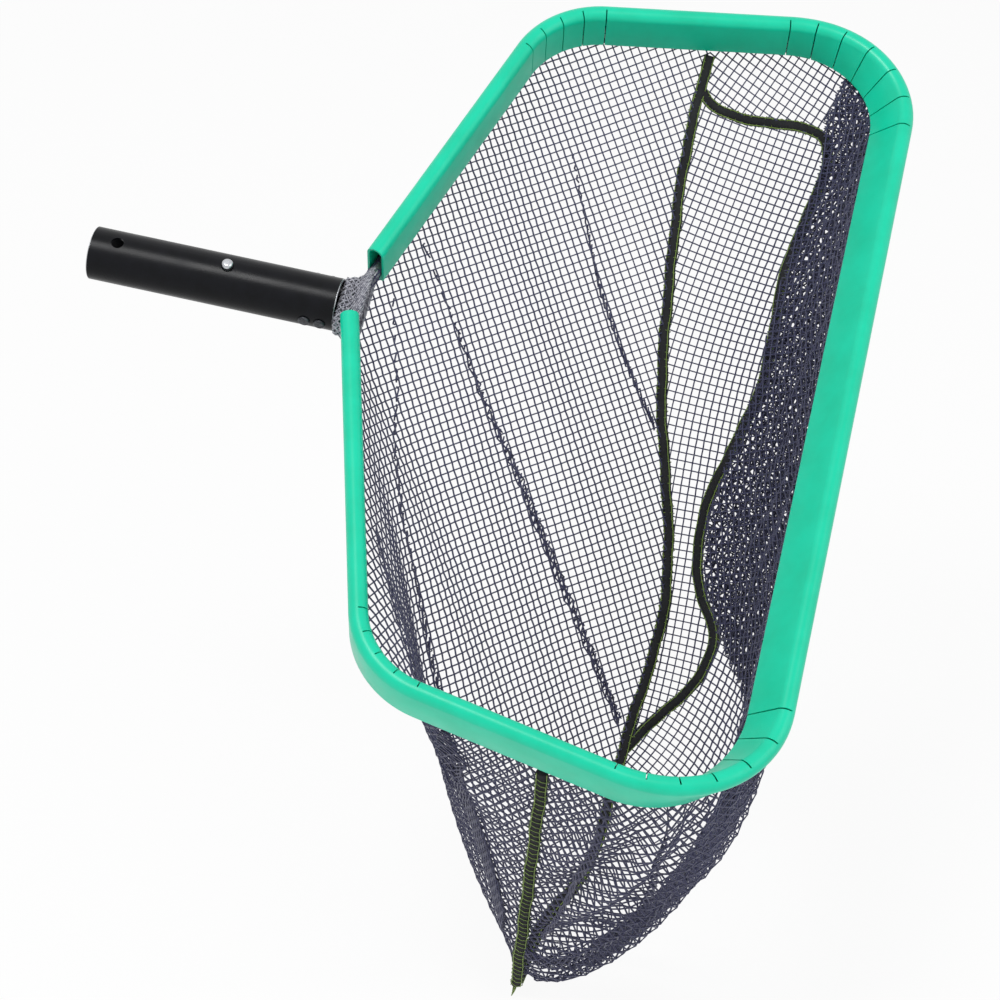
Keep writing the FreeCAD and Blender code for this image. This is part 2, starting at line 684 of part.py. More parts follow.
def gusset_column(u, rows):
    top = clear_share(front_cloth, u, blend(GUSSET_SEAM, u), SHARE_STEP, [GUSSET_LINE])
    foot = clear_share(front_cloth, u, 1, -SHARE_STEP, [SIDE_SEAM])
    return down_cloth(front_cloth, u, top, max(foot, top + SHARE_STEP), rows)


def skin_between(outer, inner):
    """A closed solid between two grids of points, as flat triangles."""
    columns, rows = len(outer), len(outer[0])
    points = [p for grid in (outer, inner) for line in grid for p in line]
    layer = columns * rows

    def number(side, i, j):
        return side * layer + i * rows + j

    facets = []

    def quad(a, b, c, d):
        facets.append((a, b, c))
        facets.append((a, c, d))

    for i in range(columns - 1):
        for j in range(rows - 1):
            quad(number(0, i, j), number(0, i + 1, j), number(0, i + 1, j + 1), number(0, i, j + 1))
            quad(number(1, i, j), number(1, i, j + 1), number(1, i + 1, j + 1), number(1, i + 1, j))
        last = rows - 1
        quad(number(0, i, 0), number(1, i, 0), number(1, i + 1, 0), number(0, i + 1, 0))
        quad(number(0, i + 1, last), number(1, i + 1, last), number(1, i, last), number(0, i, last))
    for j in range(rows - 1):
        last = columns - 1
        quad(number(0, 0, j + 1), number(1, 0, j + 1), number(1, 0, j), number(0, 0, j))
        quad(number(0, last, j), number(1, last, j), number(1, last, j + 1), number(0, last, j + 1))
    skin = Part.Shape()
    skin.makeShapeFromMesh((points, facets), 0.01)
    solid = Part.makeSolid(skin.Shells[0])
    if solid.Volume < 0:
        solid.reverse()
    return solid


def panel(name, node, column_at, first, last, columns, rows):
    """A thin closed panel over a grid of points, its skin thickened towards the inside of the bag."""
    shares = [first + (last - first) * i / (columns - 1) for i in range(columns)]
    outer = [column_at(u, rows) for u in shares]
    inner = []
    for i in range(columns):
        line = []
        for j in range(rows):
            along = outer[min(i + 1, columns - 1)][j] - outer[max(i - 1, 0)][j]
            down = outer[i][min(j + 1, rows - 1)] - outer[i][max(j - 1, 0)]
            normal = along.cross(down).normalize()
            if normal.dot(BAG_MIDDLE - outer[i][j]) < 0:
                normal = normal * -1
            line.append(outer[i][j] + normal * size("net_wall"))
        inner.append(line)
    feature = doc.addObject("Part::Feature", name)
    feature.Shape = skin_between(outer, inner)
    keep(feature, node)


def binding(name, node, centres, outwards):
    """A sewn binding that stands out of the bag along a seam, as a loft of small rectangles."""
    half = size("binding_width") / 2
    depth = size("binding_depth")
    wires = []
    for k, (here, out) in enumerate(zip(centres, outwards)):
        way = (centres[min(k + 1, len(centres) - 1)] - centres[max(k - 1, 0)]).normalize()
        out = (out - way * out.dot(way)).normalize()
        across = way.cross(out)
        corners = [
            here - across * half - out * half,
            here + across * half - out * half,
            here + across * half + out * depth,
            here - across * half + out * depth,
        ]
        wires.append(Part.makePolygon(corners + corners[:1]))
    feature = doc.addObject("Part::Feature", name)
    feature.Shape = Part.makeLoft(wires, True, True)
    keep(feature, node)


def out_of_side_seam(here):
    """Outward in the plane of the side seams, away from the middle of the bag."""
    return Vector(0, here.y - size("tip_y") * 0.4, here.z - size("tip_z") * 0.35)


def out_of_front(u, share):
    """Outward from the front of the bag, square to its cloth."""
    along = front_cloth(u + 0.005, share) - front_cloth(u - 0.005, share)
    down = front_cloth(u, share + 0.01) - front_cloth(u, share - 0.01)
    normal = along.cross(down)
    return normal if normal.dot(front_cloth(u, share) - BAG_MIDDLE) > 0 else normal * -1


def seam_tail():
    """The knotted thread ends, which run on from the far side's binding at the tip of the bag."""
    way = (SIDE_SEAM[TIP_INDEX] - SIDE_SEAM[TIP_INDEX - 4]).normalize()
    knot_length = size("tail_length") / 3
    thick_end = TIP + way * (size("sewing_gap") + knot_length)
    knot = doc.addObject("Part::Cone", "TailKnot")
    bind(knot, Radius1="Sizes.tail_diameter / 2", Radius2="Sizes.tail_diameter / 4", Height="Sizes.tail_length / 3")
    knot.Placement = Placement(thick_end, Rotation(Vector(0, 0, 1), way * -1))
    thread = doc.addObject("Part::Cone", "TailThread")
    bind(thread, Radius1="Sizes.tail_diameter / 2", Radius2="Sizes.tail_diameter / 6",
         Height="Sizes.tail_length * 2 / 3")
    thread.Placement = Placement(thick_end, Rotation(Vector(0, 0, 1), way))
    whole = doc.addObject("Part::Fuse", "SeamTail")
    whole.Base = knot
    whole.Tool = thread
    keep(whole, "seam_tail")


# Spring clip: a bent strip inside the tube that pushes the two lock buttons out
LEAF_OUT = math.sqrt((size("tube_diameter") / 2 - size("tube_wall")) ** 2 - (size("clip_width") / 2) ** 2)
LEAF_FACE = LEAF_OUT - size("clip_wall_gap")


def spring_clip():
    thick = size("clip_thickness")
    radius = size("clip_apex_radius")
    centre_x = size("clip_apex_x") + radius
    end_x = size("button_hole_x") + size("clip_flat") / 2
    flat_x = size("button_hole_x") - size("clip_flat") / 2

    def half(offset):
        """Outline of one leaf on its outer (0) or inner (thickness) face, from the tip to the bend."""
        r = radius - offset
        face = LEAF_FACE - offset
        reach = math.hypot(flat_x - centre_x, face)
        angle = math.atan2(face, flat_x - centre_x) + math.acos(r / reach)
        tangent = (centre_x + r * math.cos(angle), r * math.sin(angle))
        return [(end_x, face), (flat_x, face), tangent], (centre_x - r, 0)

    outer, outer_apex = half(0)
    inner, inner_apex = half(thick)

    def at(p, sign=1):
        return Vector(p[0], 0, p[1] * sign)

    edges = []
    for leaf, apex in ((outer, outer_apex), (inner, inner_apex)):
        for sign in (1, -1):
            edges.append(Part.LineSegment(at(leaf[0], sign), at(leaf[1], sign)).toShape())
            edges.append(Part.LineSegment(at(leaf[1], sign), at(leaf[2], sign)).toShape())
        edges.append(Part.Arc(at(leaf[2]), at(apex), at(leaf[2], -1)).toShape())
    for sign in (1, -1):
        edges.append(Part.LineSegment(at(outer[0], sign), at(inner[0], sign)).toShape())
    profile = doc.addObject("Part::Feature", "ClipProfile")
    profile.Shape = Part.Wire(Part.__sortEdges__(edges))
    strip = doc.addObject("Part::Extrusion", "ClipStrip")
    strip.Base = profile
    strip.Dir = Vector(0, 1, 0)
    strip.Solid = True
    strip.Symmetric = True
    bind(strip, LengthFwd="Sizes.clip_width")
    hole = doc.addObject("Part::Cylinder", "ClipHoles")
    bind(hole, Radius="Sizes.button_shank / 2 + Sizes.button_shank_play", Height="Sizes.tube_diameter")
    hole.Placement = Placement(Vector(size("button_hole_x"), 0, -size("tube_diameter") / 2), Rotation())
    clip = doc.addObject("Part::Cut", "SpringClip")
    clip.Base = strip
    clip.Tool = hole
    keep(clip, "spring_clip", HOOP_PLACEMENT)


def lock_button(prefix, node, side):
    """One domed button riveted to a leaf of the clip, through the tube's cross hole."""
    x = size("button_hole_x")
    thick = size("clip_thickness")
    face = LEAF_FACE
    crown_level = size("tube_diameter") / 2 + size("button_stand")
    turn = Rotation(Vector(1, 0, 0), 0 if side > 0 else 180)
    stages = [
        ("Crown", size("button_diameter") / 2, face, crown_level),
        ("Shank", size("button_shank") / 2, face - thick, face),
        ("Foot", size("button_foot") / 2, face - thick - size("button_foot_height"), face - thick),
    ]
    radii = {
        "Crown": "Sizes.button_diameter / 2",
        "Shank": "Sizes.button_shank / 2",
        "Foot": "Sizes.button_foot / 2",
    }
    pieces = []
    for stage, radius, low, high in stages:
        cylinder = doc.addObject("Part::Cylinder", prefix + stage)
        bind(cylinder, Radius=radii[stage])
        cylinder.Height = high - low
        cylinder.Placement = Placement(Vector(x, 0, low), Rotation())
        pieces.append(cylinder)
    whole = doc.addObject("Part::MultiFuse", prefix + "Whole")
    whole.Shapes = pieces
    doc.recompute()
    dome = doc.addObject("Part::Fillet", prefix)
    dome.Base = whole
    dome.Edges = [(rim_edge(whole.Shape, crown_level, "z"), size("button_round"), size("button_round"))]
    keep(dome, node, Placement(Vector(0, 0, 0), ROLL.multiply(turn)))


def build():
    handle_tube()
    frame_rod()
    leg_rivets()
    edge_guard()
    net_hem()
    panel("BackPanel", "net_back_panel", back_column, 0.02, 0.98, 40, 9)
    panel("FrontPanel", "net_front_panel", front_column, 0.03, 0.98, 72, 9)
    panel("GussetPanel", "net_gusset_panel", gusset_column, 0.06, 0.5, 45, 6)
    tip_share = TIP_INDEX / (DIVISIONS - 1)
    start = size("binding_start") / length_of(SIDE_SEAM)
    far_line = [pick(SIDE_SEAM, start + (tip_share - start) * k / 24) for k in range(25)]
    near_start = tip_share + start
    near_line = [pick(SIDE_SEAM, near_start + (1 - start - near_start) * k / 8) for k in range(9)]
    gusset_outs = [out_of_front(u, blend(GUSSET_SEAM, u)) for u in GUSSET_SHARES[4:-2:4]]
    binding("SeamFar", "side_seam_far", far_line, [out_of_side_seam(here) for here in far_line])
    binding("SeamNear", "side_seam_near", near_line, [out_of_side_seam(here) for here in near_line])
    binding("SeamGusset", "gusset_seam", GUSSET_STATIONS[4:-2:4], gusset_outs)
    seam_tail()
    spring_clip()
    lock_button("ButtonTop", "lock_button_top", 1)
    lock_button("ButtonBottom", "lock_button_bottom", -1)


def length_of(line):
    """Length of a line through its points."""
    return sum((b - a).Length for a, b in zip(line, line[1:]))


def check_and_write():
    """Refuse a failed object or an invalid shape, then write each sub-part to its own file."""
    doc.recompute()
    for item in doc.Objects:
        if "Invalid" in item.State or "Error" in item.State:
            raise RuntimeError(f"{item.Name} failed: {item.State}")
    os.makedirs("parts", exist_ok=True)
    for item in PARTS:
        shape = item.Shape
        if shape.isNull() or not shape.isValid() or not shape.Solids:
            raise RuntimeError(f"{item.Label} has no valid solid")
    for item in PARTS:
        item.Shape.exportStep(f"parts/{item.Label}.step")
        print(item.Label, len(item.Shape.Solids), "solid(s)", round(item.Shape.Volume, 1), "mm3")


build()
check_and_write()
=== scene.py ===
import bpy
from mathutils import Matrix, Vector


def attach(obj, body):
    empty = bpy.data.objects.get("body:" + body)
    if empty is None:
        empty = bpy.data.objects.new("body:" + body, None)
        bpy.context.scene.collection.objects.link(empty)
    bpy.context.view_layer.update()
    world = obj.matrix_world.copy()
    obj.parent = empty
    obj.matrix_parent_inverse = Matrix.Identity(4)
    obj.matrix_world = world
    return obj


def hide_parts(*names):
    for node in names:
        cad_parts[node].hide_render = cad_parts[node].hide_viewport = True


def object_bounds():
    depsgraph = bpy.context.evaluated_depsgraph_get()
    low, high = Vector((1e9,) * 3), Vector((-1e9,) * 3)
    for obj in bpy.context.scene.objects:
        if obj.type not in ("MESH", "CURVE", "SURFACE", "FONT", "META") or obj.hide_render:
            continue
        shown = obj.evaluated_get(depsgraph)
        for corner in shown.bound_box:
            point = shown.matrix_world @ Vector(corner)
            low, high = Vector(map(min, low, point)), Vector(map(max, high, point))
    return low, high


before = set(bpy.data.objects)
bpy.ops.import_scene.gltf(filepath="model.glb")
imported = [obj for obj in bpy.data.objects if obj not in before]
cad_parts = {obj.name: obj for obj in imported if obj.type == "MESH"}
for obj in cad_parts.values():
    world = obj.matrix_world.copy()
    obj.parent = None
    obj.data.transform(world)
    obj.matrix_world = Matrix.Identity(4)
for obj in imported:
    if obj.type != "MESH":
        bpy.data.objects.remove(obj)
CAD_BOX = [list(corner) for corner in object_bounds()]

import math

import bpy
import numpy as np
from bpy.props import FloatProperty, FloatVectorProperty, PointerProperty
from mathutils import Matrix, Vector

bl_info = {
    "name": "Leaf Skimmer Net",
    "version": (1, 0, 0),
    "blender": (4, 5, 0),
    "location": "3D View > Sidebar > Skimmer",
    "description": "Dresses a pool leaf skimmer: its net bag, bindings, edge guard, handle and lock buttons",
    "category": "Add Mesh",
}

HEAD = "net_head"
MM = 0.001


# Small tools for points and lines, all in metres
def vec(*numbers):
    return np.array(numbers, float)


def unit(v):
    """The vector, or each of a row of vectors, at length 1."""
    return v / np.maximum(np.linalg.norm(v, axis=-1, keepdims=True), 1e-12)


def turned(v, axis, angle):
    """A vector turned about an axis through the origin, by an angle in radians."""
    c, s = math.cos(angle), math.sin(angle)
    return v * c + np.cross(axis, v) * s + axis * (axis @ v) * (1 - c)


def read_table(table, shares):
    """Values of a table of (share, value) pairs, by straight interpolation."""
    return np.interp(shares, [pair[0] for pair in table], [pair[1] for pair in table])


def lengths_of(points):
    """Distance along a line of points, from its start to each point."""
    steps = np.linalg.norm(np.diff(points, axis=0), axis=1)
    return np.concatenate([[0.0], np.cumsum(steps)])


def between_rows(places, known, rows):
    """Rows of numbers at places between the known ones."""
    return np.stack([np.interp(places, known, rows[:, k]) for k in range(rows.shape[1])], axis=-1)


def pick(line, shares):
    """Points at shares, from 0 to 1, of an evenly divided line."""
    places = np.clip(np.asarray(shares, float), 0, 1) * (len(line) - 1)
    return between_rows(places, np.arange(len(line)), line)


def evenly(points, count):
    """The same line, divided in equal steps."""
    along = lengths_of(points)
    return between_rows(np.linspace(0, along[-1], count), along, points)


def smooth_through(points, count):
    """A smooth curve through the points: cubic pieces whose bend runs on from one to the next."""
    along = lengths_of(points)
    gaps = np.diff(along)
    size = len(points)
    system = np.eye(size)
    wanted = np.zeros_like(points)
    for i in range(1, size - 1):
        system[i, i - 1:i + 2] = gaps[i - 1], 2 * (gaps[i - 1] + gaps[i]), gaps[i]
        wanted[i] = 6 * ((points[i + 1] - points[i]) / gaps[i] - (points[i] - points[i - 1]) / gaps[i - 1])
    bend = np.linalg.solve(system, wanted)
    places = np.linspace(0, along[-1], count)
    piece = np.clip(np.searchsorted(along, places) - 1, 0, size - 2)
    gap = gaps[piece][:, None]
    after = (places - along[piece])[:, None]
    before = gap - after
    return (
        (bend[piece] * before ** 3 + bend[piece + 1] * after ** 3) / (6 * gap)
        + (points[piece] / gap - bend[piece] * gap / 6) * before
        + (points[piece + 1] / gap - bend[piece + 1] * gap / 6) * after
    )


# The hoop: the line of its rod, as in the solid parts
MOUTH_X = 136.5 * MM
ROD_RADIUS = 3.175 * MM
LEG_Y = 9.775 * MM
APEX = vec(142, 0, 0) * MM
SHOULDER = vec(204, 212, 0) * MM
FRONT_CORNER = vec(400, 248.5, 0) * MM
NECK = vec(APEX[0] + LEG_Y * (SHOULDER[0] - APEX[0]) / SHOULDER[1], LEG_Y, 0)
BENDS = [10 * MM, 50 * MM, 54 * MM]
HOOP_ROLL = math.radians(30)
FRONT_LEAN = math.radians(43)
X_AXIS = vec(1, 0, 0)

# The guard's section, from its lips below the rod to the dome above it, and its relief slits. Its ends lie at
# GUARD_START and GUARD_END from the hoop's apex
GUARD_DROP = 6.2 * MM
GUARD_HALF = 5.0 * MM
GUARD_INNER = 3.8 * MM
GUARD_DOME = 14.8 * MM
GUARD_LIP = 1.3 * MM
GUARD_EDGE = 1.5 * MM
GUARD_START = 27 * MM
GUARD_END = 15 * MM
GUARD_SPACING = 12 * MM
SLIT_HALF = 0.35 * MM
SLIT_PITCH = 15 * MM
SLIT_STEPS = 5

# The hem round the rod, and the net's loose edge wrapped round both legs at the tube's mouth
RIM_GAP = 2.0 * MM
HEM_PLY = 0.5 * MM
HEM_APART = 0.4 * MM
HEM_BELOW_RIM = 0.3 * MM
HEM_START = 0.3 * MM
HEM_SPACING = 6 * MM
HEM_WRAP = np.radians(np.linspace(-62, 242, 15))
NECK_START = 0.4 * MM
NECK_REACH = 13.5 * MM
NECK_SPREAD = 24 * MM
NECK_MARGIN = 4.4 * MM
NECK_TALL = 5.6 * MM
NECK_SAG = 1.5 * MM
NECK_LAYERS = 4
NECK_LIFT = 0.7 * MM
NECK_MESH_SHARE = 0.62
NECK_GRID = (22, 65)

# The bindings, with their waves as (depth, length) in mm. SEAM_MIDDLE is in shares of the tip's place, and a
# stitch's path is (angle round the binding, share of the stitch)
BINDING_SIDES = 12
BINDING_SPACING = 1.2 * MM
BINDING_TUCK = 1.2 * MM
BINDING_FUZZ = 0.1
BINDING_INSET = 0.006
SEAM_MIDDLE = vec(0, 0.4, 0.35)
BINDING_WAVES = [(0.3, 7), (0.15, 2.9)]
STITCH_RADIUS = 0.2 * MM
STITCH_PATH = [(-40, 0.0), (10, 0.12), (50, 0.3), (90, 0.5), (130, 0.62), (170, 0.75), (220, 0.95)]
RAIL_ANGLES = [38, 142, -40, 220]
RAIL_STAND = 1.07
TAIL_THREADS = 7

# Finishes: the depth of their grain, and how far the tube's cut ends show bare metal
GRAIN_DEPTH = 0.3 * MM
BARE_EDGE = 0.4 * MM


def mirrored(point):
    """The same point on the hoop's near side."""
    return point * vec(1, -1, 1)


def rolled(points):
    """Points of the flat hoop, set in the roll that it has about the handle."""
    c, s = math.cos(HOOP_ROLL), math.sin(HOOP_ROLL)
    return points @ np.array([[1, 0, 0], [0, c, s], [0, -s, c]])


def rounded_path(corners, radii, first, last):
    """Straight runs (start, end) and arcs (start, end, centre) through the corners, in the hoop's plane."""
    pieces = []
    here = first
    stops = corners + [last]
    for i, corner in enumerate(corners):
        arrive = unit(corner - here)
        leave = unit(stops[i + 1] - corner)
        turn = math.acos(np.clip(arrive @ leave, -1, 1))
        cut = radii[i] * math.tan(turn / 2)
        start = corner - arrive * cut
        end = corner + leave * cut
        centre = corner + unit(leave - arrive) * (radii[i] / math.cos(turn / 2))
        pieces.append((here, start))
        pieces.append((start, end, centre))
        here = end
    pieces.append((here, last))
    return pieces


def hoop_run(first, corners, radii, last):
    """Each stretch of the hoop with the lean that its section has at the two ends."""
    pieces = rounded_path(corners, radii, first, last)
    middle = len(pieces) // 2
    run = []
    for i, piece in enumerate(pieces):
        before = FRONT_LEAN if i in (middle, middle + 1) else 0.0
        after = FRONT_LEAN if i in (middle - 1, middle) else 0.0
        run.append((piece, before, after))
    return run


def station(stretch, share):
    """Centre, axes across and up the section, and way along the hoop, at a share of one stretch."""
    piece, before, after = stretch
    start, end = piece[0], piece[1]
    if len(piece) == 2:
        way = unit(end - start)
        centre = start + (end - start) * share
    else:
        spoke = start - piece[2]
        last = end - piece[2]
        axis = vec(0, 0, math.copysign(1, np.cross(spoke, last)[2]))
        angle = math.acos(np.clip(unit(spoke) @ unit(last), -1, 1)) * share
        spoke = turned(spoke, axis, angle)
        centre = piece[2] + spoke
        way = unit(np.cross(axis, spoke))
    outward = vec(-way[1], way[0], 0)
    tilt = before + (after - before) * share * share * (3 - 2 * share)
    across = outward * math.cos(tilt) - vec(0, 0, math.sin(tilt))
    up = outward * math.sin(tilt) + vec(0, 0, math.cos(tilt))
    return rolled(np.stack([centre, across, up, way]))


HALF = [NECK, SHOULDER, FRONT_CORNER]
CORNERS = HALF + [mirrored(corner) for corner in reversed(HALF)]
RADII = BENDS + BENDS[::-1]
HEM_FIRST = vec(MOUTH_X + HEM_START, LEG_Y, 0)
HEM_RUN = hoop_run(HEM_FIRST, CORNERS, RADII, mirrored(HEM_FIRST))


def hoop_stations(run, spacing):
    """Stations about evenly spaced along a run, its corners' ends among them."""
    places = []
    for stretch in run:
        piece = stretch[0]
        length = np.linalg.norm(piece[1] - piece[0])
        steps = max(2, math.ceil(length * (1.1 if len(piece) == 3 else 1) / spacing))
        places += [station(stretch, step / steps) for step in range(steps)]
    places.append(station(run[-1], 1))
    return np.array(places)


# The bag: the cloth between the rim under the guard and the side seam, as in the solid parts
SEAM_FAR_X = 295.0 * MM
SEAM_NEAR_X = 301.5 * MM
TIP = vec(303, -118, -326) * MM
SIDE_SEAM_POINTS = np.array([
    (293, 178, 53), (300, 137, -17), (310, 104, -72), (326, 76, -122), (337, 40, -176), (333, 8, -222),
    (330, -25, -262), (325, -64, -285), (310, -98, -297),
]) * MM
BACK_FALL = [(0, 0), (0.2, 0.36), (0.42, 0.58), (0.5, 0.63), (0.6, 0.73), (0.8, 0.90), (1, 1)]
FRONT_FALL = [(0, 0), (0.2, 0.2), (0.5, 0.5), (0.75, 0.68), (0.88, 0.80), (1, 1)]
FRONT_DROP = [(0, 0.3), (0.3, 0.3), (0.6, 0.69), (0.8, 0.36), (1, 0.36)]
FRONT_BELLY = [(0, 0.1), (0.3, 0.1), (0.6, 0.48), (0.8, 0.16), (1, 0.12)]
NEAR_FOLD = [(0, 0), (0.5, 0.1), (0.65, 1), (0.85, 1), (1, 0)]
FOLD_AT_RIM = 17 * MM
FOLD_AT_SEAM = 35 * MM
DROP_WAY = vec(0.21, 0, -1)
BELLY_SLANT = math.radians(52)
GUSSET_SEAM = [
    (0.03, 0.90), (0.06, 0.58), (0.1, 0.36), (0.14, 0.25), (0.2, 0.42), (0.3, 0.51), (0.36, 0.78),
    (0.4, 0.78), (0.434, 0.70), (0.48, 0.89), (0.54, 1.0),
]
BAG_MIDDLE = vec(301.5, 0, -109) * MM
DIVISIONS = 480
GUSSET_SPAN = (GUSSET_SEAM[0][0], GUSSET_SEAM[-1][0])
SEAM_WEIGHTS = (1, 0.3)
SEAM_CURVE = smooth_through(np.array(GUSSET_SEAM) * SEAM_WEIGHTS, 600) / SEAM_WEIGHTS

# Folds of the net. Pleats are lines of (share down the cloth, share along the rim), with their width
PLEATS = [
    ([(0.03, 0.375), (0.32, 0.373), (0.48, 0.365), (0.87, 0.356), (0.97, 0.355)], 6.5 * MM),
    ([(0.24, 0.16), (0.39, 0.17), (0.53, 0.18), (0.70, 0.178), (0.93, 0.168)], 5.0 * MM),
    ([(0.04, 0.429), (0.17, 0.471), (0.27, 0.549), (0.46, 0.569), (0.9, 0.58)], 4.5 * MM),
    ([(0.04, 0.641), (0.11, 0.673), (0.22, 0.715), (0.7, 0.74)], 6.0 * MM),
    ([(0.1, 0.90), (0.55, 0.855), (0.77, 0.78), (0.88, 0.71), (0.95, 0.65)], 22.0 * MM),
]
FRONT_PLEATS = [
    ([(0.02, 0.90), (0.27, 0.888), (0.50, 0.844), (0.77, 0.838), (0.95, 0.85)], 9.0 * MM),
    ([(0.03, 0.862), (0.28, 0.848), (0.43, 0.824), (0.64, 0.796), (0.9, 0.80)], 4.5 * MM),
    ([(0.09, 0.82), (0.3, 0.76), (0.54, 0.70), (0.9, 0.70)], 5.0 * MM),
    ([(0.02, 0.938), (0.28, 0.942), (0.59, 0.92), (0.84, 0.874)], 8.0 * MM),
    ([(0.1, 0.79), (0.4, 0.78), (0.6, 0.76), (0.95, 0.76)], 14.0 * MM),
]
PLEAT_PROFILE = [(0.0, 0.5), (1.0, 0.9), (1.08, 1.3), (1.0, 1.7), (0.0, 2.1)]
PLEAT_SPREAD = 0.55
PLEAT_LEAST = 0.12
PLEAT_ROWS = 100
PLEAT_PROBE = 0.004
PLEAT_SHIFT = (0.0013, 0.002)
FOLD_STEP = 0.042
FOLD_DEPTH = 5 * MM
FOLD_REACH = [(0, 0), (0.55, 0), (0.64, 1), (0.9, 1), (0.97, 0)]
GATHER_SPAN = (0.13, 0.8)
GATHER_FOOT = [(0.13, 0.2), (0.2, 0.41), (0.3, 0.5), (0.36, 0.74), (0.4, 0.74), (0.434, 0.66), (0.5, 0.5),
               (0.6, 0.34), (0.7, 0.26), (0.8, 0.2)]
GATHER_LAYERS = 4
GATHER_GAP = 1.5 * MM
RUFFLE_STEP = 0.021
RUFFLE_GROWTH = 0.003
RUFFLE_DEPTH = 1.3 * MM

# Slow waves of the net: (share of the depth, waves along the rim, waves down the cloth, start), in radians.
# The weave's height and the shortest thread are in shares of the thread's thickness
SLOW_WAVES = [(1.0, 31, 2.3, 0.0), (0.7, 57, -3.1, 1.3)]
WAVE_DEPTH = 1.5 * MM
WEAVE_SHARE = 0.45
SHORTEST_THREAD = 3


def rim_halves():
    """The rim cut at the side seams: the back half and the front half, each from far to near."""
    places = []
    for stretch in HEM_RUN[1:-1]:
        steps = 12 if len(stretch[0]) == 3 else 16
        places += [station(stretch, step / steps) for step in range(steps)]
    places.append(station(HEM_RUN[-2], 1))
    points = np.array([place[0] - place[2] * (GUARD_DROP + RIM_GAP) for place in places])
    far = np.nonzero(points[:, 0] > SEAM_FAR_X)[0][0]
    near = np.nonzero(points[:, 0] > SEAM_NEAR_X)[0][-1]

    def crossing(behind, ahead, x):
        return behind + (ahead - behind) * ((x - behind[0]) / (ahead[0] - behind[0]))

    far_end = crossing(points[far - 1], points[far], SEAM_FAR_X)[None]
    near_end = crossing(points[near + 1], points[near], SEAM_NEAR_X)[None]
    front = np.concatenate([far_end, points[far:near + 1], near_end])
    back = np.concatenate([far_end, points[:far][::-1], points[near + 1:][::-1], near_end])
    return evenly(back, DIVISIONS), evenly(front, DIVISIONS)


BACK_RIM, FRONT_RIM = rim_halves()
FAR_SEAM = smooth_through(np.concatenate([BACK_RIM[:1], SIDE_SEAM_POINTS, TIP[None]]), DIVISIONS)
SIDE_SEAM = evenly(np.concatenate([FAR_SEAM, BACK_RIM[-1:]]), DIVISIONS)
TIP_INDEX = int(np.argmin(np.linalg.norm(SIDE_SEAM - TIP, axis=1)))


def hanging(top, top_pull, foot_pull, foot, shares):
    """Points down the cloth, on curves that leave the rim and the seam by the two pulls."""
    s = shares[..., None]
    r = 1 - s
    upper = top * r ** 3 + (top + top_pull) * (3 * s * r ** 2)
    return upper + (foot + foot_pull) * (3 * s ** 2 * r) + foot * s ** 3


def back_cloth(u, shares):
    """The back of the bag from the rim to the side seam."""
    top = pick(BACK_RIM, u)
    foot = pick(SIDE_SEAM, read_table(BACK_FALL, u))
    fold = read_table(NEAR_FOLD, u)[..., None] * X_AXIS
    third = (foot - top) / 3
    return hanging(top, third + fold * FOLD_AT_RIM, -third - fold * FOLD_AT_SEAM, foot, shares)


def front_cloth(u, shares):
    """The front of the bag from the rim to the side seam, with the gusset's part of it."""
    top = pick(FRONT_RIM, u)
    foot = pick(SIDE_SEAM, read_table(FRONT_FALL, u))
    length = np.linalg.norm(foot - top, axis=-1)
    drop = (length * read_table(FRONT_DROP, u))[..., None] * DROP_WAY
    belly_way = vec(math.cos(BELLY_SLANT), 0, -math.sin(BELLY_SLANT))
    belly = (length * read_table(FRONT_BELLY, u))[..., None] * belly_way
    return hanging(top, drop, belly, foot, shares)


def outward(points):
    """Normals of a grid of points, away from the middle of the bag."""
    normals = unit(np.cross(np.gradient(points, axis=0), np.gradient(points, axis=1)))
    sides = np.sign(np.sum(normals * (points - BAG_MIDDLE), axis=-1))
    return normals * (1.0 if np.sum(sides) > 0 else -1.0)


def cubic_shares(t):
    """Weights of four neighbours for a smooth curve between the middle two."""
    return np.stack([-t + 2 * t ** 2 - t ** 3, 2 - 5 * t ** 2 + 3 * t ** 3, t + 4 * t ** 2 - 3 * t ** 3,
                     t ** 3 - t ** 2], axis=-1) / 2


def read_map(grid, u, shares):
    """Values of a coarse grid at places from 0 to 1 along its two sides, by smooth curves."""
    grid = np.concatenate([2 * grid[:1] - grid[1:2], grid, 2 * grid[-1:] - grid[-2:-1]])
    grid = np.concatenate([2 * grid[:, :1] - grid[:, 1:2], grid, 2 * grid[:, -1:] - grid[:, -2:-1]], axis=1)
    found = []
    for places, count in ((u, grid.shape[0] - 2), (shares, grid.shape[1] - 2)):
        at = np.clip(places, 0, 1) * (count - 1)
        whole = np.clip(np.floor(at).astype(int), 0, count - 2)
        found.append((whole, cubic_shares(at - whole)))
    (i, across), (j, down) = found
    total = 0
    for a in range(4):
        for b in range(4):
            total = total + grid[i + a, j + b] * (across[..., a] * down[..., b])[..., None]
    return total


class Cloth:
    """One cloth of the bag, as coarse grids of where it hangs and of where it lay in the flat net."""

    def __init__(self, surface, columns=88, rows=20, smoothing=8):
        u = np.linspace(0, 1, columns)[:, None] + np.zeros((1, rows))
        shares = np.linspace(0, 1, rows)[None, :] + np.zeros((columns, 1))
        places = surface(u, shares)
        for _ in range(smoothing):
            beside = (places[:-2, 1:-1] + places[2:, 1:-1]) / 2
            places[1:-1, 1:-1] = (places[1:-1, 1:-1] + beside) / 2
        self.places = places
        self.flat = flattened(places)

    def at(self, u, shares):
        """Points of the hanging cloth."""
        return read_map(self.places, u, shares)


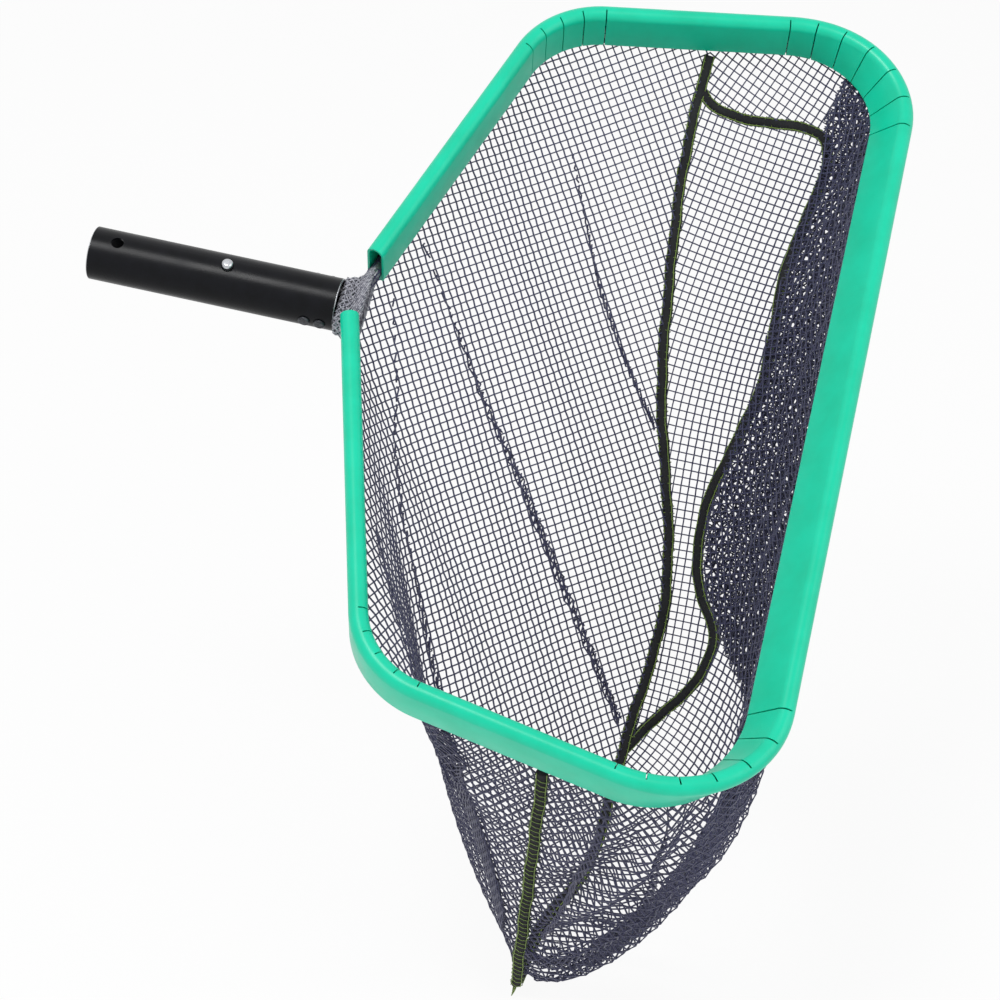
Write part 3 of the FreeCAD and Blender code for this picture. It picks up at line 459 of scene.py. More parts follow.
class Patch:
    """A patch of a cloth as a fine grid: columns along the rim, rows down the cloth, with outward normals."""

    def __init__(self, cloth, span, size, top_table, foot_table, relief=None):
        columns, rows = size
        u = np.linspace(*span, columns)[:, None] + np.zeros((1, rows))
        down = np.linspace(0, 1, rows)[None, :] + np.zeros((columns, 1))
        top = read_table(top_table, u)
        shares = top + (read_table(foot_table, u) - top) * down
        self.points = cloth.at(u, shares)
        self.flat = read_map(cloth.flat, u, shares)
        self.normals = outward(self.points)
        if relief is not None:
            self.raise_by(relief(u, shares, down))

    def raise_by(self, height):
        """Lift the patch along its normals. The folds take up more cloth along the rim."""
        plain = np.linalg.norm(np.diff(self.points, axis=0), axis=-1)
        self.points = self.points + self.normals * height[..., None]
        folded = np.linalg.norm(np.diff(self.points, axis=0), axis=-1)
        extra = np.concatenate([[0.0], np.cumsum(np.maximum(folded - plain, 0).mean(axis=1))])
        self.flat = self.flat + extra[:, None, None] * np.array([1.0, 0.0])
        self.normals = outward(self.points)


def soft_waves(u, shares, down):
    """Slow waves of hanging net, none at its edges."""
    swell = sum(size * np.sin(u * rim + shares * fall + start) for size, rim, fall, start in SLOW_WAVES)
    return swell * WAVE_DEPTH * np.sin(math.pi * down)


def hanging_folds(u, shares, down):
    """Folds that hang under the near front corner, over the slow waves."""
    fold = np.sin(u * 2 * math.pi / FOLD_STEP) * read_table(FOLD_REACH, u) * FOLD_DEPTH
    return fold * np.sin(math.pi * np.clip(down * 1.15, 0, 1)) ** 0.6 + soft_waves(u, shares, down) * 0.6


def gathered_layer(level):
    """Relief of one layer of the net that is gathered inside the front rim."""
    def relief(u, shares, down):
        step = RUFFLE_STEP + RUFFLE_GROWTH * level
        ruffle = np.sin(u * 2 * math.pi / step + level * 1.9) * RUFFLE_DEPTH * np.sin(math.pi * down)
        return ruffle - GATHER_GAP * (1 + level) * np.sqrt(np.clip(down * 3, 0, 1))
    return relief


def grid_triangles(columns, rows):
    """Corner numbers of the two triangles of each cell of a grid."""
    i, j = np.meshgrid(np.arange(columns - 1), np.arange(rows - 1), indexing="ij")
    a = (i * rows + j).ravel()
    b, c, d = a + rows, a + rows + 1, a + 1
    return np.concatenate([np.stack([a, b, c], 1), np.stack([a, c, d], 1)])


def loosened(flat, passes=30):
    """The flat cloth with its inner creases pulled out."""
    for _ in range(passes):
        flat[1:-1] = flat[1:-1] / 2 + (flat[:-2] + flat[2:]) / 4
        flat[1:-1, 1:-1] = flat[1:-1, 1:-1] / 2 + (flat[1:-1, :-2] + flat[1:-1, 2:]) / 4
    return flat


def flattened(points, rounds=56, loosened_at=(12, 24, 36)):
    """The grid laid flat as the cloth was cut, with as little stretch as can be: x along the rim, y down."""
    columns, rows = points.shape[:2]
    places = points.reshape(-1, 3)
    triangles = grid_triangles(columns, rows)
    p, q, r = (places[triangles[:, k]] for k in range(3))
    first = q - p
    base = np.linalg.norm(first, axis=1)
    second = r - p
    reach = np.sum(first * second, axis=1) / np.maximum(base, 1e-9)
    height = np.linalg.norm(np.cross(first, second), axis=1) / np.maximum(base, 1e-9)
    area = np.maximum(base * height / 2, 1e-10)
    zero = np.zeros_like(base)
    corners = np.stack([np.stack(pair, 1) for pair in ((zero, zero), (base, zero), (reach, height))], 1)
    slopes = np.empty_like(corners)
    for k in range(3):
        edge = corners[:, (k + 2) % 3] - corners[:, (k + 1) % 3]
        slopes[:, k] = np.stack([-edge[:, 1], edge[:, 0]], 1) / (2 * area[:, None])
    size = len(places)
    system = np.zeros((size, size))
    for k in range(3):
        for m in range(3):
            weight = area * np.sum(slopes[:, k] * slopes[:, m], axis=1)
            np.add.at(system, (triangles[:, k], triangles[:, m]), weight)
    system += np.eye(size) * 1e-9
    solver = np.linalg.inv(system)
    across = np.mean([lengths_of(points[:, j])[-1] for j in range(rows)])
    depth = np.array([lengths_of(points[i])[-1] for i in range(columns)])
    start_x = np.linspace(0, across, columns)[:, None] + np.zeros((1, rows))
    start_y = -np.linspace(0, 1, rows)[None, :] * depth[:, None]
    flat = np.stack([start_x, start_y], axis=-1).reshape(-1, 2)
    for turn in range(rounds):
        if turn in loosened_at:
            flat = loosened(flat.reshape(columns, rows, 2)).reshape(-1, 2)
        jacobian = np.einsum("tki,tkj->tij", flat[triangles], slopes)
        angle = np.arctan2(jacobian[:, 1, 0] - jacobian[:, 0, 1], jacobian[:, 0, 0] + jacobian[:, 1, 1])
        c, s = np.cos(angle), np.sin(angle)
        spin = np.stack([np.stack([c, -s], 1), np.stack([s, c], 1)], 1)
        wanted = np.zeros((size, 2))
        for k in range(3):
            np.add.at(wanted, triangles[:, k], np.einsum("tij,tj->ti", spin, slopes[:, k]) * area[:, None])
        flat = solver @ wanted
    return flat.reshape(columns, rows, 2)


def traced(levels, data, pitch):
    """Lines on the grid along which `levels` is a whole number of pitches. Each line is a list of rows of
    `data`, read at its points, with the line's number."""
    columns, rows = levels.shape
    values = levels.reshape(-1) / pitch
    facts = data.reshape(columns * rows, -1)
    triangles = grid_triangles(columns, rows)
    corner_values = values[triangles]
    lowest = np.ceil(corner_values.min(axis=1)).astype(int)
    highest = np.ceil(corner_values.max(axis=1)).astype(int) - 1
    links = {}
    spots = {}
    for t in np.nonzero(highest >= lowest)[0]:
        corner = triangles[t]
        height = corner_values[t]
        for level in range(lowest[t], highest[t] + 1):
            ends = []
            for a, b in ((0, 1), (1, 2), (2, 0)):
                if (height[a] <= level) != (height[b] <= level):
                    low, high = sorted((corner[a], corner[b]))
                    key = (low, high, level)
                    if key not in spots:
                        share = (level - values[low]) / (values[high] - values[low])
                        spots[key] = facts[low] + (facts[high] - facts[low]) * share
                        links[key] = []
                    ends.append(key)
            if len(ends) == 2:
                links[ends[0]].append(ends[1])
                links[ends[1]].append(ends[0])
    lines = []
    used = set()
    for start in [key for key, near in links.items() if len(near) == 1]:
        if start in used:
            continue
        line = [start]
        used.add(start)
        while True:
            ahead = [key for key in links[line[-1]] if key not in used]
            if not ahead:
                break
            line.append(ahead[0])
            used.add(ahead[0])
        if len(line) > 1:
            lines.append((start[2], np.array([spots[key] for key in line])))
    return lines


def knotted(line, number, pitch, weave):
    """A thread's points where it meets the threads that cross it, passing over one and under the next."""
    places = line[:, 6] / pitch
    points = [line[0, :3]]
    normals = [line[0, 3:6]]
    for k in range(len(line) - 1):
        a, b = places[k], places[k + 1]
        if abs(b - a) < 1e-9:
            continue
        low, high = math.ceil(min(a, b)), math.ceil(max(a, b))
        meets = list(range(low, high)) if b > a else list(range(high - 1, low - 1, -1))
        for meet in meets:
            fact = line[k] + (line[k + 1] - line[k]) * ((meet - a) / (b - a))
            side = 1 if (meet + number) % 2 else -1
            normal = unit(fact[3:6])
            points.append(fact[:3] + normal * (weave * side))
            normals.append(normal)
    points.append(line[-1, :3])
    normals.append(line[-1, 3:6])
    return np.array(points), unit(np.array(normals))


class MeshStock:
    """Points and faces gathered from many small pieces, for one mesh."""

    def __init__(self):
        self.points = []
        self.faces = []
        self.count = 0

    def add(self, points, faces):
        """Take in points, and faces that count from the first of them."""
        self.points.append(np.asarray(points, float).reshape(-1, 3))
        self.faces.append(np.asarray(faces, int) + self.count)
        self.count += len(self.points[-1])

    def rings(self, points):
        """A closed tube through a row of rings of points."""
        count, sides = points.shape[:2]
        numbers = np.arange(count * sides).reshape(count, sides)
        here, there = numbers[:-1], numbers[1:]
        walls = np.stack([here, np.roll(here, -1, 1), np.roll(there, -1, 1), there], -1).reshape(-1, 4)
        self.add(points, walls)
        self.faces.append(np.array([numbers[0][::-1], numbers[-1]]) + self.count - count * sides)

    def tube(self, line, ups, radius, taper=1.0):
        """A closed four-sided tube round a line, with one side facing the way that `ups` gives."""
        way = unit(np.gradient(line, axis=0))
        up = unit(ups - way * np.sum(ups * way, axis=1, keepdims=True))
        across = np.cross(way, up)
        angles = (np.arange(4) + 0.5) * (math.pi / 2)
        ring = up[:, None] * np.cos(angles)[None, :, None] + across[:, None] * np.sin(angles)[None, :, None]
        radii = radius * np.broadcast_to(taper, len(line))
        self.rings(line[:, None] + ring * radii[:, None, None])

    def shell(self, skins, solid):
        """A wall between two grids of points. `solid` says which of the grid's cells are there."""
        columns, rows = skins[0].shape[:2]

        def number(side, i, j):
            return (side * columns + i) * rows + j

        faces = []
        for i in range(columns - 1):
            for j in range(rows - 1):
                if not solid(i, j):
                    continue
                ring = [(i, j), (i + 1, j), (i + 1, j + 1), (i, j + 1)]
                faces.append([number(0, *spot) for spot in ring])
                faces.append([number(1, *spot) for spot in reversed(ring)])
                beside = [(i, j - 1), (i + 1, j), (i, j + 1), (i - 1, j)]
                for a, b, (k, m) in zip(ring, ring[1:] + ring[:1], beside):
                    inside = 0 <= k < columns - 1 and 0 <= m < rows - 1
                    if not (inside and solid(k, m)):
                        faces.append([number(0, *b), number(0, *a), number(1, *a), number(1, *b)])
        self.add(np.concatenate([skin.reshape(-1, 3) for skin in skins]), faces)

    def build(self, name, material, slot, node=None):
        """The object of everything gathered. It rides on the net's head, and may stand for a solid part."""
        points = np.concatenate(self.points)
        faces = [tuple(face) for group in self.faces for face in group.tolist()]
        mesh = bpy.data.meshes.new(name)
        mesh.from_pydata(points.tolist(), [], faces)
        mesh.update()
        mesh.shade_smooth()
        mesh.materials.append(material)
        piece = placed(name, mesh)
        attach(piece, HEAD)
        if node:
            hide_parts(node)
        return piece


def placed(name, data):
    """A new object in the scene."""
    thing = bpy.data.objects.new(name, data)
    bpy.context.scene.collection.objects.link(thing)
    return thing


def area_of(points):
    """Area of a grid of points."""
    triangles = grid_triangles(*points.shape[:2])
    places = points.reshape(-1, 3)
    p, q, r = (places[triangles[:, k]] for k in range(3))
    return float(np.sum(np.linalg.norm(np.cross(q - p, r - p), axis=1)) / 2)


def weave_net(stock, points, normals, flat, pitch, thread, offset=(0.0, 0.0)):
    """Threads of a square net over a grid, whose place in the flat cloth is given in metres."""
    for axis in (0, 1):
        levels = flat[..., axis] + offset[axis]
        other = flat[..., 1 - axis] + offset[1 - axis]
        data = np.concatenate([points, normals, other[..., None]], axis=-1)
        for number, line in traced(levels, data, pitch):
            spots, ups = knotted(line, number, pitch, thread * WEAVE_SHARE)
            if lengths_of(spots)[-1] > thread * SHORTEST_THREAD:
                stock.tube(spots, ups, thread / math.sqrt(2))


def cut_at(flat, angle):
    """Places in the flat cloth, turned to the angle at which it was cut from the net."""
    c, s = math.cos(angle), math.sin(angle)
    return flat @ np.array([[c, s], [-s, c]])


def net_over(stock, patch, settings, turn, shift=(0.0, 0.0)):
    """The net's threads over one patch, at the angle that its cloth was cut."""
    flat = cut_at(patch.flat, turn)
    weave_net(stock, patch.points, patch.normals, flat, settings.pitch, settings.thread, shift)


def pleat_over(stock, cloth, line, width, settings, turn):
    """A knife pleat down a cloth: two more layers, folded over on its outer side. Gives its area."""
    shares = np.linspace(line[0][0], line[-1][0], PLEAT_ROWS)
    u = read_table(line, shares)
    middle = cloth.at(u, shares)
    step = cloth.at(u + PLEAT_PROBE, shares) - cloth.at(u - PLEAT_PROBE, shares)
    speed = np.linalg.norm(step, axis=1) / (2 * PLEAT_PROBE)
    normal = unit(np.cross(step, np.gradient(middle, axis=0)))
    normal = normal * np.sign(np.sum(normal * (middle - BAG_MIDDLE)))
    run = (shares - shares[0]) / (PLEAT_SPREAD * (shares[-1] - shares[0]))
    widths = width * np.clip(run, PLEAT_LEAST, 1)
    points = np.array([
        cloth.at(u + (share - 0.5) * widths / speed, shares) + normal * height * MM
        for share, height in PLEAT_PROFILE
    ])
    steps = np.linalg.norm(np.diff(points, axis=0), axis=-1)
    across = np.concatenate([np.zeros((1, len(shares))), np.cumsum(steps, axis=0)])
    flat = np.stack([across, -lengths_of(middle)[None, :] + np.zeros_like(across)], axis=-1)
    normals = normal[None, :, :] + np.zeros_like(points)
    weave_net(stock, points, normals, cut_at(flat, turn), settings.pitch, settings.thread, PLEAT_SHIFT)
    return area_of(points)


BACK_NET = Cloth(back_cloth)
FRONT_NET = Cloth(front_cloth)


# Colours are written as they look on a screen
def from_screen(red, green, blue):
    """A colour's values for the shaders, from its 0 to 255 values on a screen."""
    levels = [level / 255 for level in (red, green, blue)]
    return tuple(c / 12.92 if c <= 0.04045 else ((c + 0.055) / 1.055) ** 2.4 for c in levels)


def colour_property(name, description, default):
    """A colour that the sidebar shows."""
    return FloatVectorProperty(
        name=name, description=description, subtype="COLOR", size=3, min=0, max=1, default=default)


def length_property(name, description, default):
    """A size in metres."""
    return FloatProperty(
        name=name, description=description, subtype="DISTANCE", unit="LENGTH", min=0, default=default)


def angle_property(name, description, degrees):
    """An angle, given in degrees."""
    return FloatProperty(name=name, description=description, subtype="ANGLE", default=math.radians(degrees))


class NetSettings(bpy.types.PropertyGroup):
    """Sizes and colours of the net bag"""

    pitch: length_property("Mesh", "Distance from one thread of the net to the next", 4.5 * MM)
    thread: length_property("Thread", "Thickness of the net's thread", 0.7 * MM)
    back_turn: angle_property("Back cut", "Angle at which the back panel was cut from the net", 33)
    front_turn: angle_property("Front cut", "Angle at which the front panel was cut from the net", 54)
    gusset_turn: angle_property("Gusset cut", "Angle at which the gusset was cut from the net", 68)
    thread_colour: colour_property("Thread colour", "Colour of the net's thread", from_screen(46, 48, 84))


class SeamSettings(bpy.types.PropertyGroup):
    """Sizes and colours of the bindings"""

    tape_width: length_property("Tape", "Width of the rolled binding tape", 6.2 * MM)
    tape_thickness: length_property("Tape thickness", "Half the height of the rolled tape", 2.4 * MM)
    stitch_pitch: length_property("Stitch", "Distance from one overlock stitch to the next", 4.2 * MM)
    tape_colour: colour_property("Tape colour", "Colour of the binding tape", from_screen(13, 13, 16))
    stitch_colour: colour_property("Stitches", "Colour of the overlock thread", from_screen(104, 132, 44))


class GuardSettings(bpy.types.PropertyGroup):
    """Finish of the edge guard"""

    plastic_colour: colour_property("Plastic", "Colour of the guard's plastic", from_screen(0, 214, 172))
    gloss: FloatProperty(
        name="Roughness", description="Roughness of the guard's plastic", min=0, max=1, default=0.3)


class HandleSettings(bpy.types.PropertyGroup):
    """Colours of the handle and its fittings"""

    coat_colour: colour_property("Coating", "Colour of the tube's coating", from_screen(8, 9, 13))
    bare_colour: colour_property("Bare metal", "Colour of the cut metal", from_screen(176, 178, 182))
    steel_colour: colour_property("Steel", "Colour of the clip and the buttons", from_screen(196, 198, 202))


class StageSettings(bpy.types.PropertyGroup):
    """Floor and lamps"""

    floor_drop: length_property("Floor gap", "Distance from the bag's lowest point to the floor", 1 * MM)
    floor_size: length_property("Floor", "Side of the floor", 12.0)
    lamp_power: FloatProperty(
        name="Key lamp", description="Power of the key lamp", subtype="POWER", default=26.0)
    floor_colour: colour_property("Floor colour", "Colour of the floor and background", (1.0, 1.0, 1.0))


# Tools for shader nodes
def add_node(tree, kind, inputs=None, **values):
    """A new node with its own values. Each input gets a value, or a link from another node's output."""
    node = tree.nodes.new(kind)
    for name, value in values.items():
        setattr(node, name, value)
    for socket, value in (inputs or {}).items():
        if isinstance(value, bpy.types.NodeSocket):
            tree.links.new(value, node.inputs[socket])
        else:
            node.inputs[socket].default_value = value
    return node


def worked_out(tree, operation, first, second):
    """The result of one sum on two numbers or outputs."""
    return add_node(tree, "ShaderNodeMath", {0: first, 1: second}, operation=operation).outputs["Value"]


def mixed_colour(tree, share, first, second):
    """A colour between two others."""
    inputs = {"Factor": share, "A": first, "B": second}
    return add_node(tree, "ShaderNodeMix", inputs, data_type="RGBA").outputs["Result"]


def empty_tree(owner):
    """The emptied node tree of a material or a world."""
    owner.use_nodes = True
    owner.node_tree.nodes.clear()
    return owner.node_tree


def background_rays(tree):
    """1 for rays that show the background, straight, in a reflection or through glass, and else 0."""
    path = add_node(tree, "ShaderNodeLightPath").outputs
    seen = worked_out(tree, "MAXIMUM", path["Is Camera Ray"], path["Is Glossy Ray"])
    return worked_out(tree, "MAXIMUM", seen, path["Is Transmission Ray"])


# Shader node groups that several materials share
def new_group(name, inputs, outputs):
    """A node group with named inputs (a colour has no default) and outputs, and the values given to it."""
    group = bpy.data.node_groups.new(name, "ShaderNodeTree")
    for label, default in inputs.items():
        kind = "NodeSocketColor" if default is None else "NodeSocketFloat"
        socket = group.interface.new_socket(label, in_out="INPUT", socket_type=kind)
        if default is not None:
            socket.default_value = default
    for label, kind in outputs.items():
        group.interface.new_socket(label, in_out="OUTPUT", socket_type=kind)
    return group, add_node(group, "NodeGroupInput").outputs


def fleck_group():
    """Soft patches of a second colour, for dust, dye and haze, and for the painted sheen of the neck wrap."""
    name = "soft_flecks"
    if name in bpy.data.node_groups:
        return bpy.data.node_groups[name]
    inputs = {"Colour": None, "Fleck Colour": None, "Scale": 200.0, "Amount": 0.3}
    group, given = new_group(name, inputs, {"Colour": "NodeSocketColor"})
    noise = add_node(group, "ShaderNodeTexNoise", {
        "Vector": add_node(group, "ShaderNodeTexCoord").outputs["Object"], "Scale": given["Scale"],
        "Detail": 5.0, "Roughness": 0.6,
    })
    patches = add_node(group, "ShaderNodeMapRange", {
        "Value": noise.outputs["Fac"], "From Min": 0.38, "From Max": 0.72,
    })
    share = worked_out(group, "MULTIPLY", patches.outputs["Result"], given["Amount"])
    colour = mixed_colour(group, share, given["Colour"], given["Fleck Colour"])
    add_node(group, "NodeGroupOutput", {"Colour": colour})
    return group


def handled_group():
    """The fine unevenness of a used surface: gives its roughness and a height for the bump."""
    name = "handled_surface"
    if name in bpy.data.node_groups:
        return bpy.data.node_groups[name]
    inputs = {"Smooth": 0.3, "Rubbed": 0.5, "Scale": 60.0, "Grain Scale": 900.0}
    group, given = new_group(name, inputs, {"Roughness": "NodeSocketFloat", "Height": "NodeSocketFloat"})
    place = add_node(group, "ShaderNodeTexCoord").outputs["Object"]
    wide = add_node(group, "ShaderNodeTexNoise", {"Vector": place, "Scale": given["Scale"], "Detail": 4.0})
    fine = given["Grain Scale"]
    grain = add_node(group, "ShaderNodeTexNoise", {"Vector": place, "Scale": fine, "Detail": 2.0})
    gloss = add_node(group, "ShaderNodeMapRange", {
        "Value": wide.outputs["Fac"], "From Min": 0.3, "From Max": 0.7,
        "To Min": given["Smooth"], "To Max": given["Rubbed"],
    })
    add_node(group, "NodeGroupOutput", {"Roughness": gloss.outputs["Result"], "Height": grain.outputs["Fac"]})
    return group


def finish_material(name, colour, fleck, fleck_scale, amount, smooth, rubbed, grain_scale, bump, **fixed):
    """A material of one base colour with soft flecks, uneven gloss and a fine grain.

    The numbers are the flecks' scale and amount, the roughness where it is smooth and where it is rubbed, and
    the grain's scale and strength. `fixed` holds the shader's own values.
    """
    material = bpy.data.materials.new(name)
    tree = empty_tree(material)
    flecks = add_node(tree, "ShaderNodeGroup", {
        "Colour": (*colour, 1), "Fleck Colour": (*fleck, 1), "Scale": fleck_scale, "Amount": amount,
    }, name="flecks", node_tree=fleck_group())
    handled = add_node(tree, "ShaderNodeGroup", {
        "Smooth": smooth, "Rubbed": rubbed, "Grain Scale": grain_scale,
    }, node_tree=handled_group())
    relief = add_node(tree, "ShaderNodeBump", {
        "Strength": bump, "Distance": GRAIN_DEPTH, "Height": handled.outputs["Height"],
    })
    shader = add_node(tree, "ShaderNodeBsdfPrincipled", {
        "Base Color": flecks.outputs["Colour"], "Roughness": handled.outputs["Roughness"],
        "Normal": relief.outputs["Normal"],
    } | {socket.replace("_", " "): value for socket, value in fixed.items()})
    add_node(tree, "ShaderNodeOutputMaterial", {"Surface": shader.outputs["BSDF"]})
    return material


def lay_material(node, material):
    """Give a solid part of the frame its material."""
    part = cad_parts[node]
    part.data.materials.clear()
    part.data.materials.append(material)


def thread_material(settings):
    """Dark twisted yarn, paler where it is rubbed."""
    return finish_material(
        "net_thread", settings.thread_colour, from_screen(74, 74, 100), 900, 0.6, 0.42, 0.62, 4000, 0.3,
        Specular_IOR_Level=0.5, Sheen_Weight=0.2,
    )


def finish_net(stock, name, material, node=None):
    piece = stock.build(name, material, "net", node)


class SKIMMER_OT_net(bpy.types.Operator):
    """Weave the net over the back, the front and the gusset of the bag"""

    bl_idname = "skimmer.net"
    bl_label = "Net Bag"

    def execute(self, context):
        settings = context.scene.skimmer_net
        material = thread_material(settings)
        rim = [(0, 0.0), (1, 0.0)]
        full = [(0, 1.0), (1, 1.0)]
        seam = [tuple(place) for place in SEAM_CURVE]
        back = Patch(BACK_NET, (0, 1), (300, 72), rim, full, soft_waves)
        front = Patch(FRONT_NET, (0, 1), (330, 60), rim, seam, hanging_folds)
        gusset = Patch(FRONT_NET, GUSSET_SPAN, (160, 40), seam, full)
        panels = [
            ("net_back", "net_back_panel", back, settings.back_turn),
            ("net_front", "net_front_panel", front, settings.front_turn),
            ("net_gusset", "net_gusset_panel", gusset, settings.gusset_turn),
        ]
        for name, node, patch, turn in panels:
            stock = MeshStock()
            net_over(stock, patch, settings, turn)
            finish_net(stock, name, material, node=node)
        self.pleats(settings, material)
        self.gather(settings, material)
        return {"FINISHED"}

    def pleats(self, settings, material):
        """Folds that are laid over and pressed, on the back and on the front."""
        stock = MeshStock()
        folds = [(BACK_NET, *pleat) for pleat in PLEATS] + [(FRONT_NET, *pleat) for pleat in FRONT_PLEATS]
        area = sum(pleat_over(stock, cloth, line, width, settings, 0.3 + 0.4 * k)
                   for k, (cloth, line, width) in enumerate(folds))
        finish_net(stock, "net_pleats", material)

    def gather(self, settings, material):
        """Layers of net drawn together inside the front rim."""
        stock = MeshStock()
        for level in range(GATHER_LAYERS):
            relief = gathered_layer(level)
            patch = Patch(FRONT_NET, GATHER_SPAN, (300, 24), [(0, 0.0), (1, 0.0)], GATHER_FOOT, relief)
            net_over(stock, patch, settings, 0.35 + 0.37 * level, (0.0011 * level, 0.0007 * level))
        finish_net(stock, "net_gather", material)


class SKIMMER_OT_neck(bpy.types.Operator):
    """Wrap the net's loose edge round the two legs at the tube's mouth"""

    bl_idname = "skimmer.neck"
    bl_label = "Neck Wrap"

    def execute(self, context):
        settings = context.scene.skimmer_net
        # Painted sheen: the wrap's thread is a lighter copy of the net's thread. Its pale grey base and
        # near-white flecks paint the sheen of the gathered layers.
        wear_and_sheen = from_screen(206, 206, 214)
        material = finish_material(
            "neck_thread", from_screen(96, 97, 112), wear_and_sheen, 700, 1.0, 0.45, 0.65, 4000, 0.3, Sheen_Weight=0.3)
        stock = MeshStock()
        for level in range(NECK_LAYERS):
            points = self.sleeve(level * NECK_LIFT)
            middle = points.mean(axis=1, keepdims=True)
            along = lengths_of(points[:, 0])[:, None] + np.zeros(points.shape[:2])
            way_round = np.array([lengths_of(ring) for ring in points])
            flat = cut_at(np.stack([along, way_round], axis=-1), 0.5 + 0.6 * level)
            weave_net(stock, points, unit(points - middle), flat, settings.pitch * NECK_MESH_SHARE,
                      settings.thread, (0.001 * level, 0.0))
        finish_net(stock, "net_neck", material)
        return {"FINISHED"}

    def sleeve(self, lift):
        """A grid round both legs, from the tube's mouth to where the guard starts."""
        rings = []
        angles = np.linspace(0, 2 * math.pi, NECK_GRID[1])
        c, s = np.cos(angles), np.sin(angles)
        for x in np.linspace(MOUTH_X + NECK_START, MOUTH_X + NECK_REACH, NECK_GRID[0]):
            share = (x - MOUTH_X) / NECK_REACH
            half = LEG_Y + NECK_MARGIN + lift + (NECK_SPREAD - LEG_Y) * share ** 2.2
            tall = NECK_TALL + lift + MM * math.sin(share * 9)
            y = half * np.sign(c) * np.abs(c) ** 0.7
            z = tall * np.sign(s) * np.abs(s) ** 0.7 - NECK_SAG * share
            rings.append(np.stack([np.full_like(y, x), y, z], axis=-1))
        return rolled(np.array(rings).reshape(-1, 3)).reshape(*NECK_GRID, 3)


class SKIMMER_OT_hem(bpy.types.Operator):
    """Wrap the net's edge round the hoop rod and out through the guard's slot"""

    bl_idname = "skimmer.hem"
    bl_label = "Net Hem"

    def execute(self, context):
        settings = context.scene.skimmer_net
        material = bpy.data.materials["net_thread"]
        places = hoop_stations(HEM_RUN, HEM_SPACING)
        centre, across, up = places[:, None, 0], places[:, None, 1], places[:, None, 2]
        radius = ROD_RADIUS + HEM_PLY
        low = -(GUARD_DROP + RIM_GAP) - HEM_BELOW_RIM
        ring = [(radius * math.cos(angle), radius * math.sin(angle)) for angle in HEM_WRAP]
        profile = evenly(np.array([(HEM_APART, low)] + ring + [(-HEM_APART, low)]), 24)
        points = centre + across * profile[None, :, :1] + up * profile[None, :, 1:]
        along = lengths_of(places[:, 0])[:, None] + np.zeros((1, len(profile)))
        round_rod = lengths_of(profile)[None, :] + np.zeros((len(places), 1))
        flat = np.stack([along, round_rod], -1)
        stock = MeshStock()
        weave_net(stock, points, unit(points - centre), flat, settings.pitch, settings.thread)
        finish_net(stock, "net_hem_wrap", material, node="net_hem")
        return {"FINISHED"}


def seam_outward(here):
    """Outward in the plane of the side seams, away from its middle."""
    return (here - TIP * SEAM_MIDDLE) * vec(0, 1, 1)


def cloth_outward(u, shares, probe=0.005):
    """Outward from the front cloth along the gusset's seam."""
    along = FRONT_NET.at(u + probe, shares) - FRONT_NET.at(u - probe, shares)
    down = FRONT_NET.at(u, shares + 2 * probe) - FRONT_NET.at(u, shares - 2 * probe)
    normal = np.cross(along, down)
    side = np.sign(np.sum(normal * (FRONT_NET.at(u, shares) - BAG_MIDDLE), axis=-1, keepdims=True))
    return unit(normal * side)


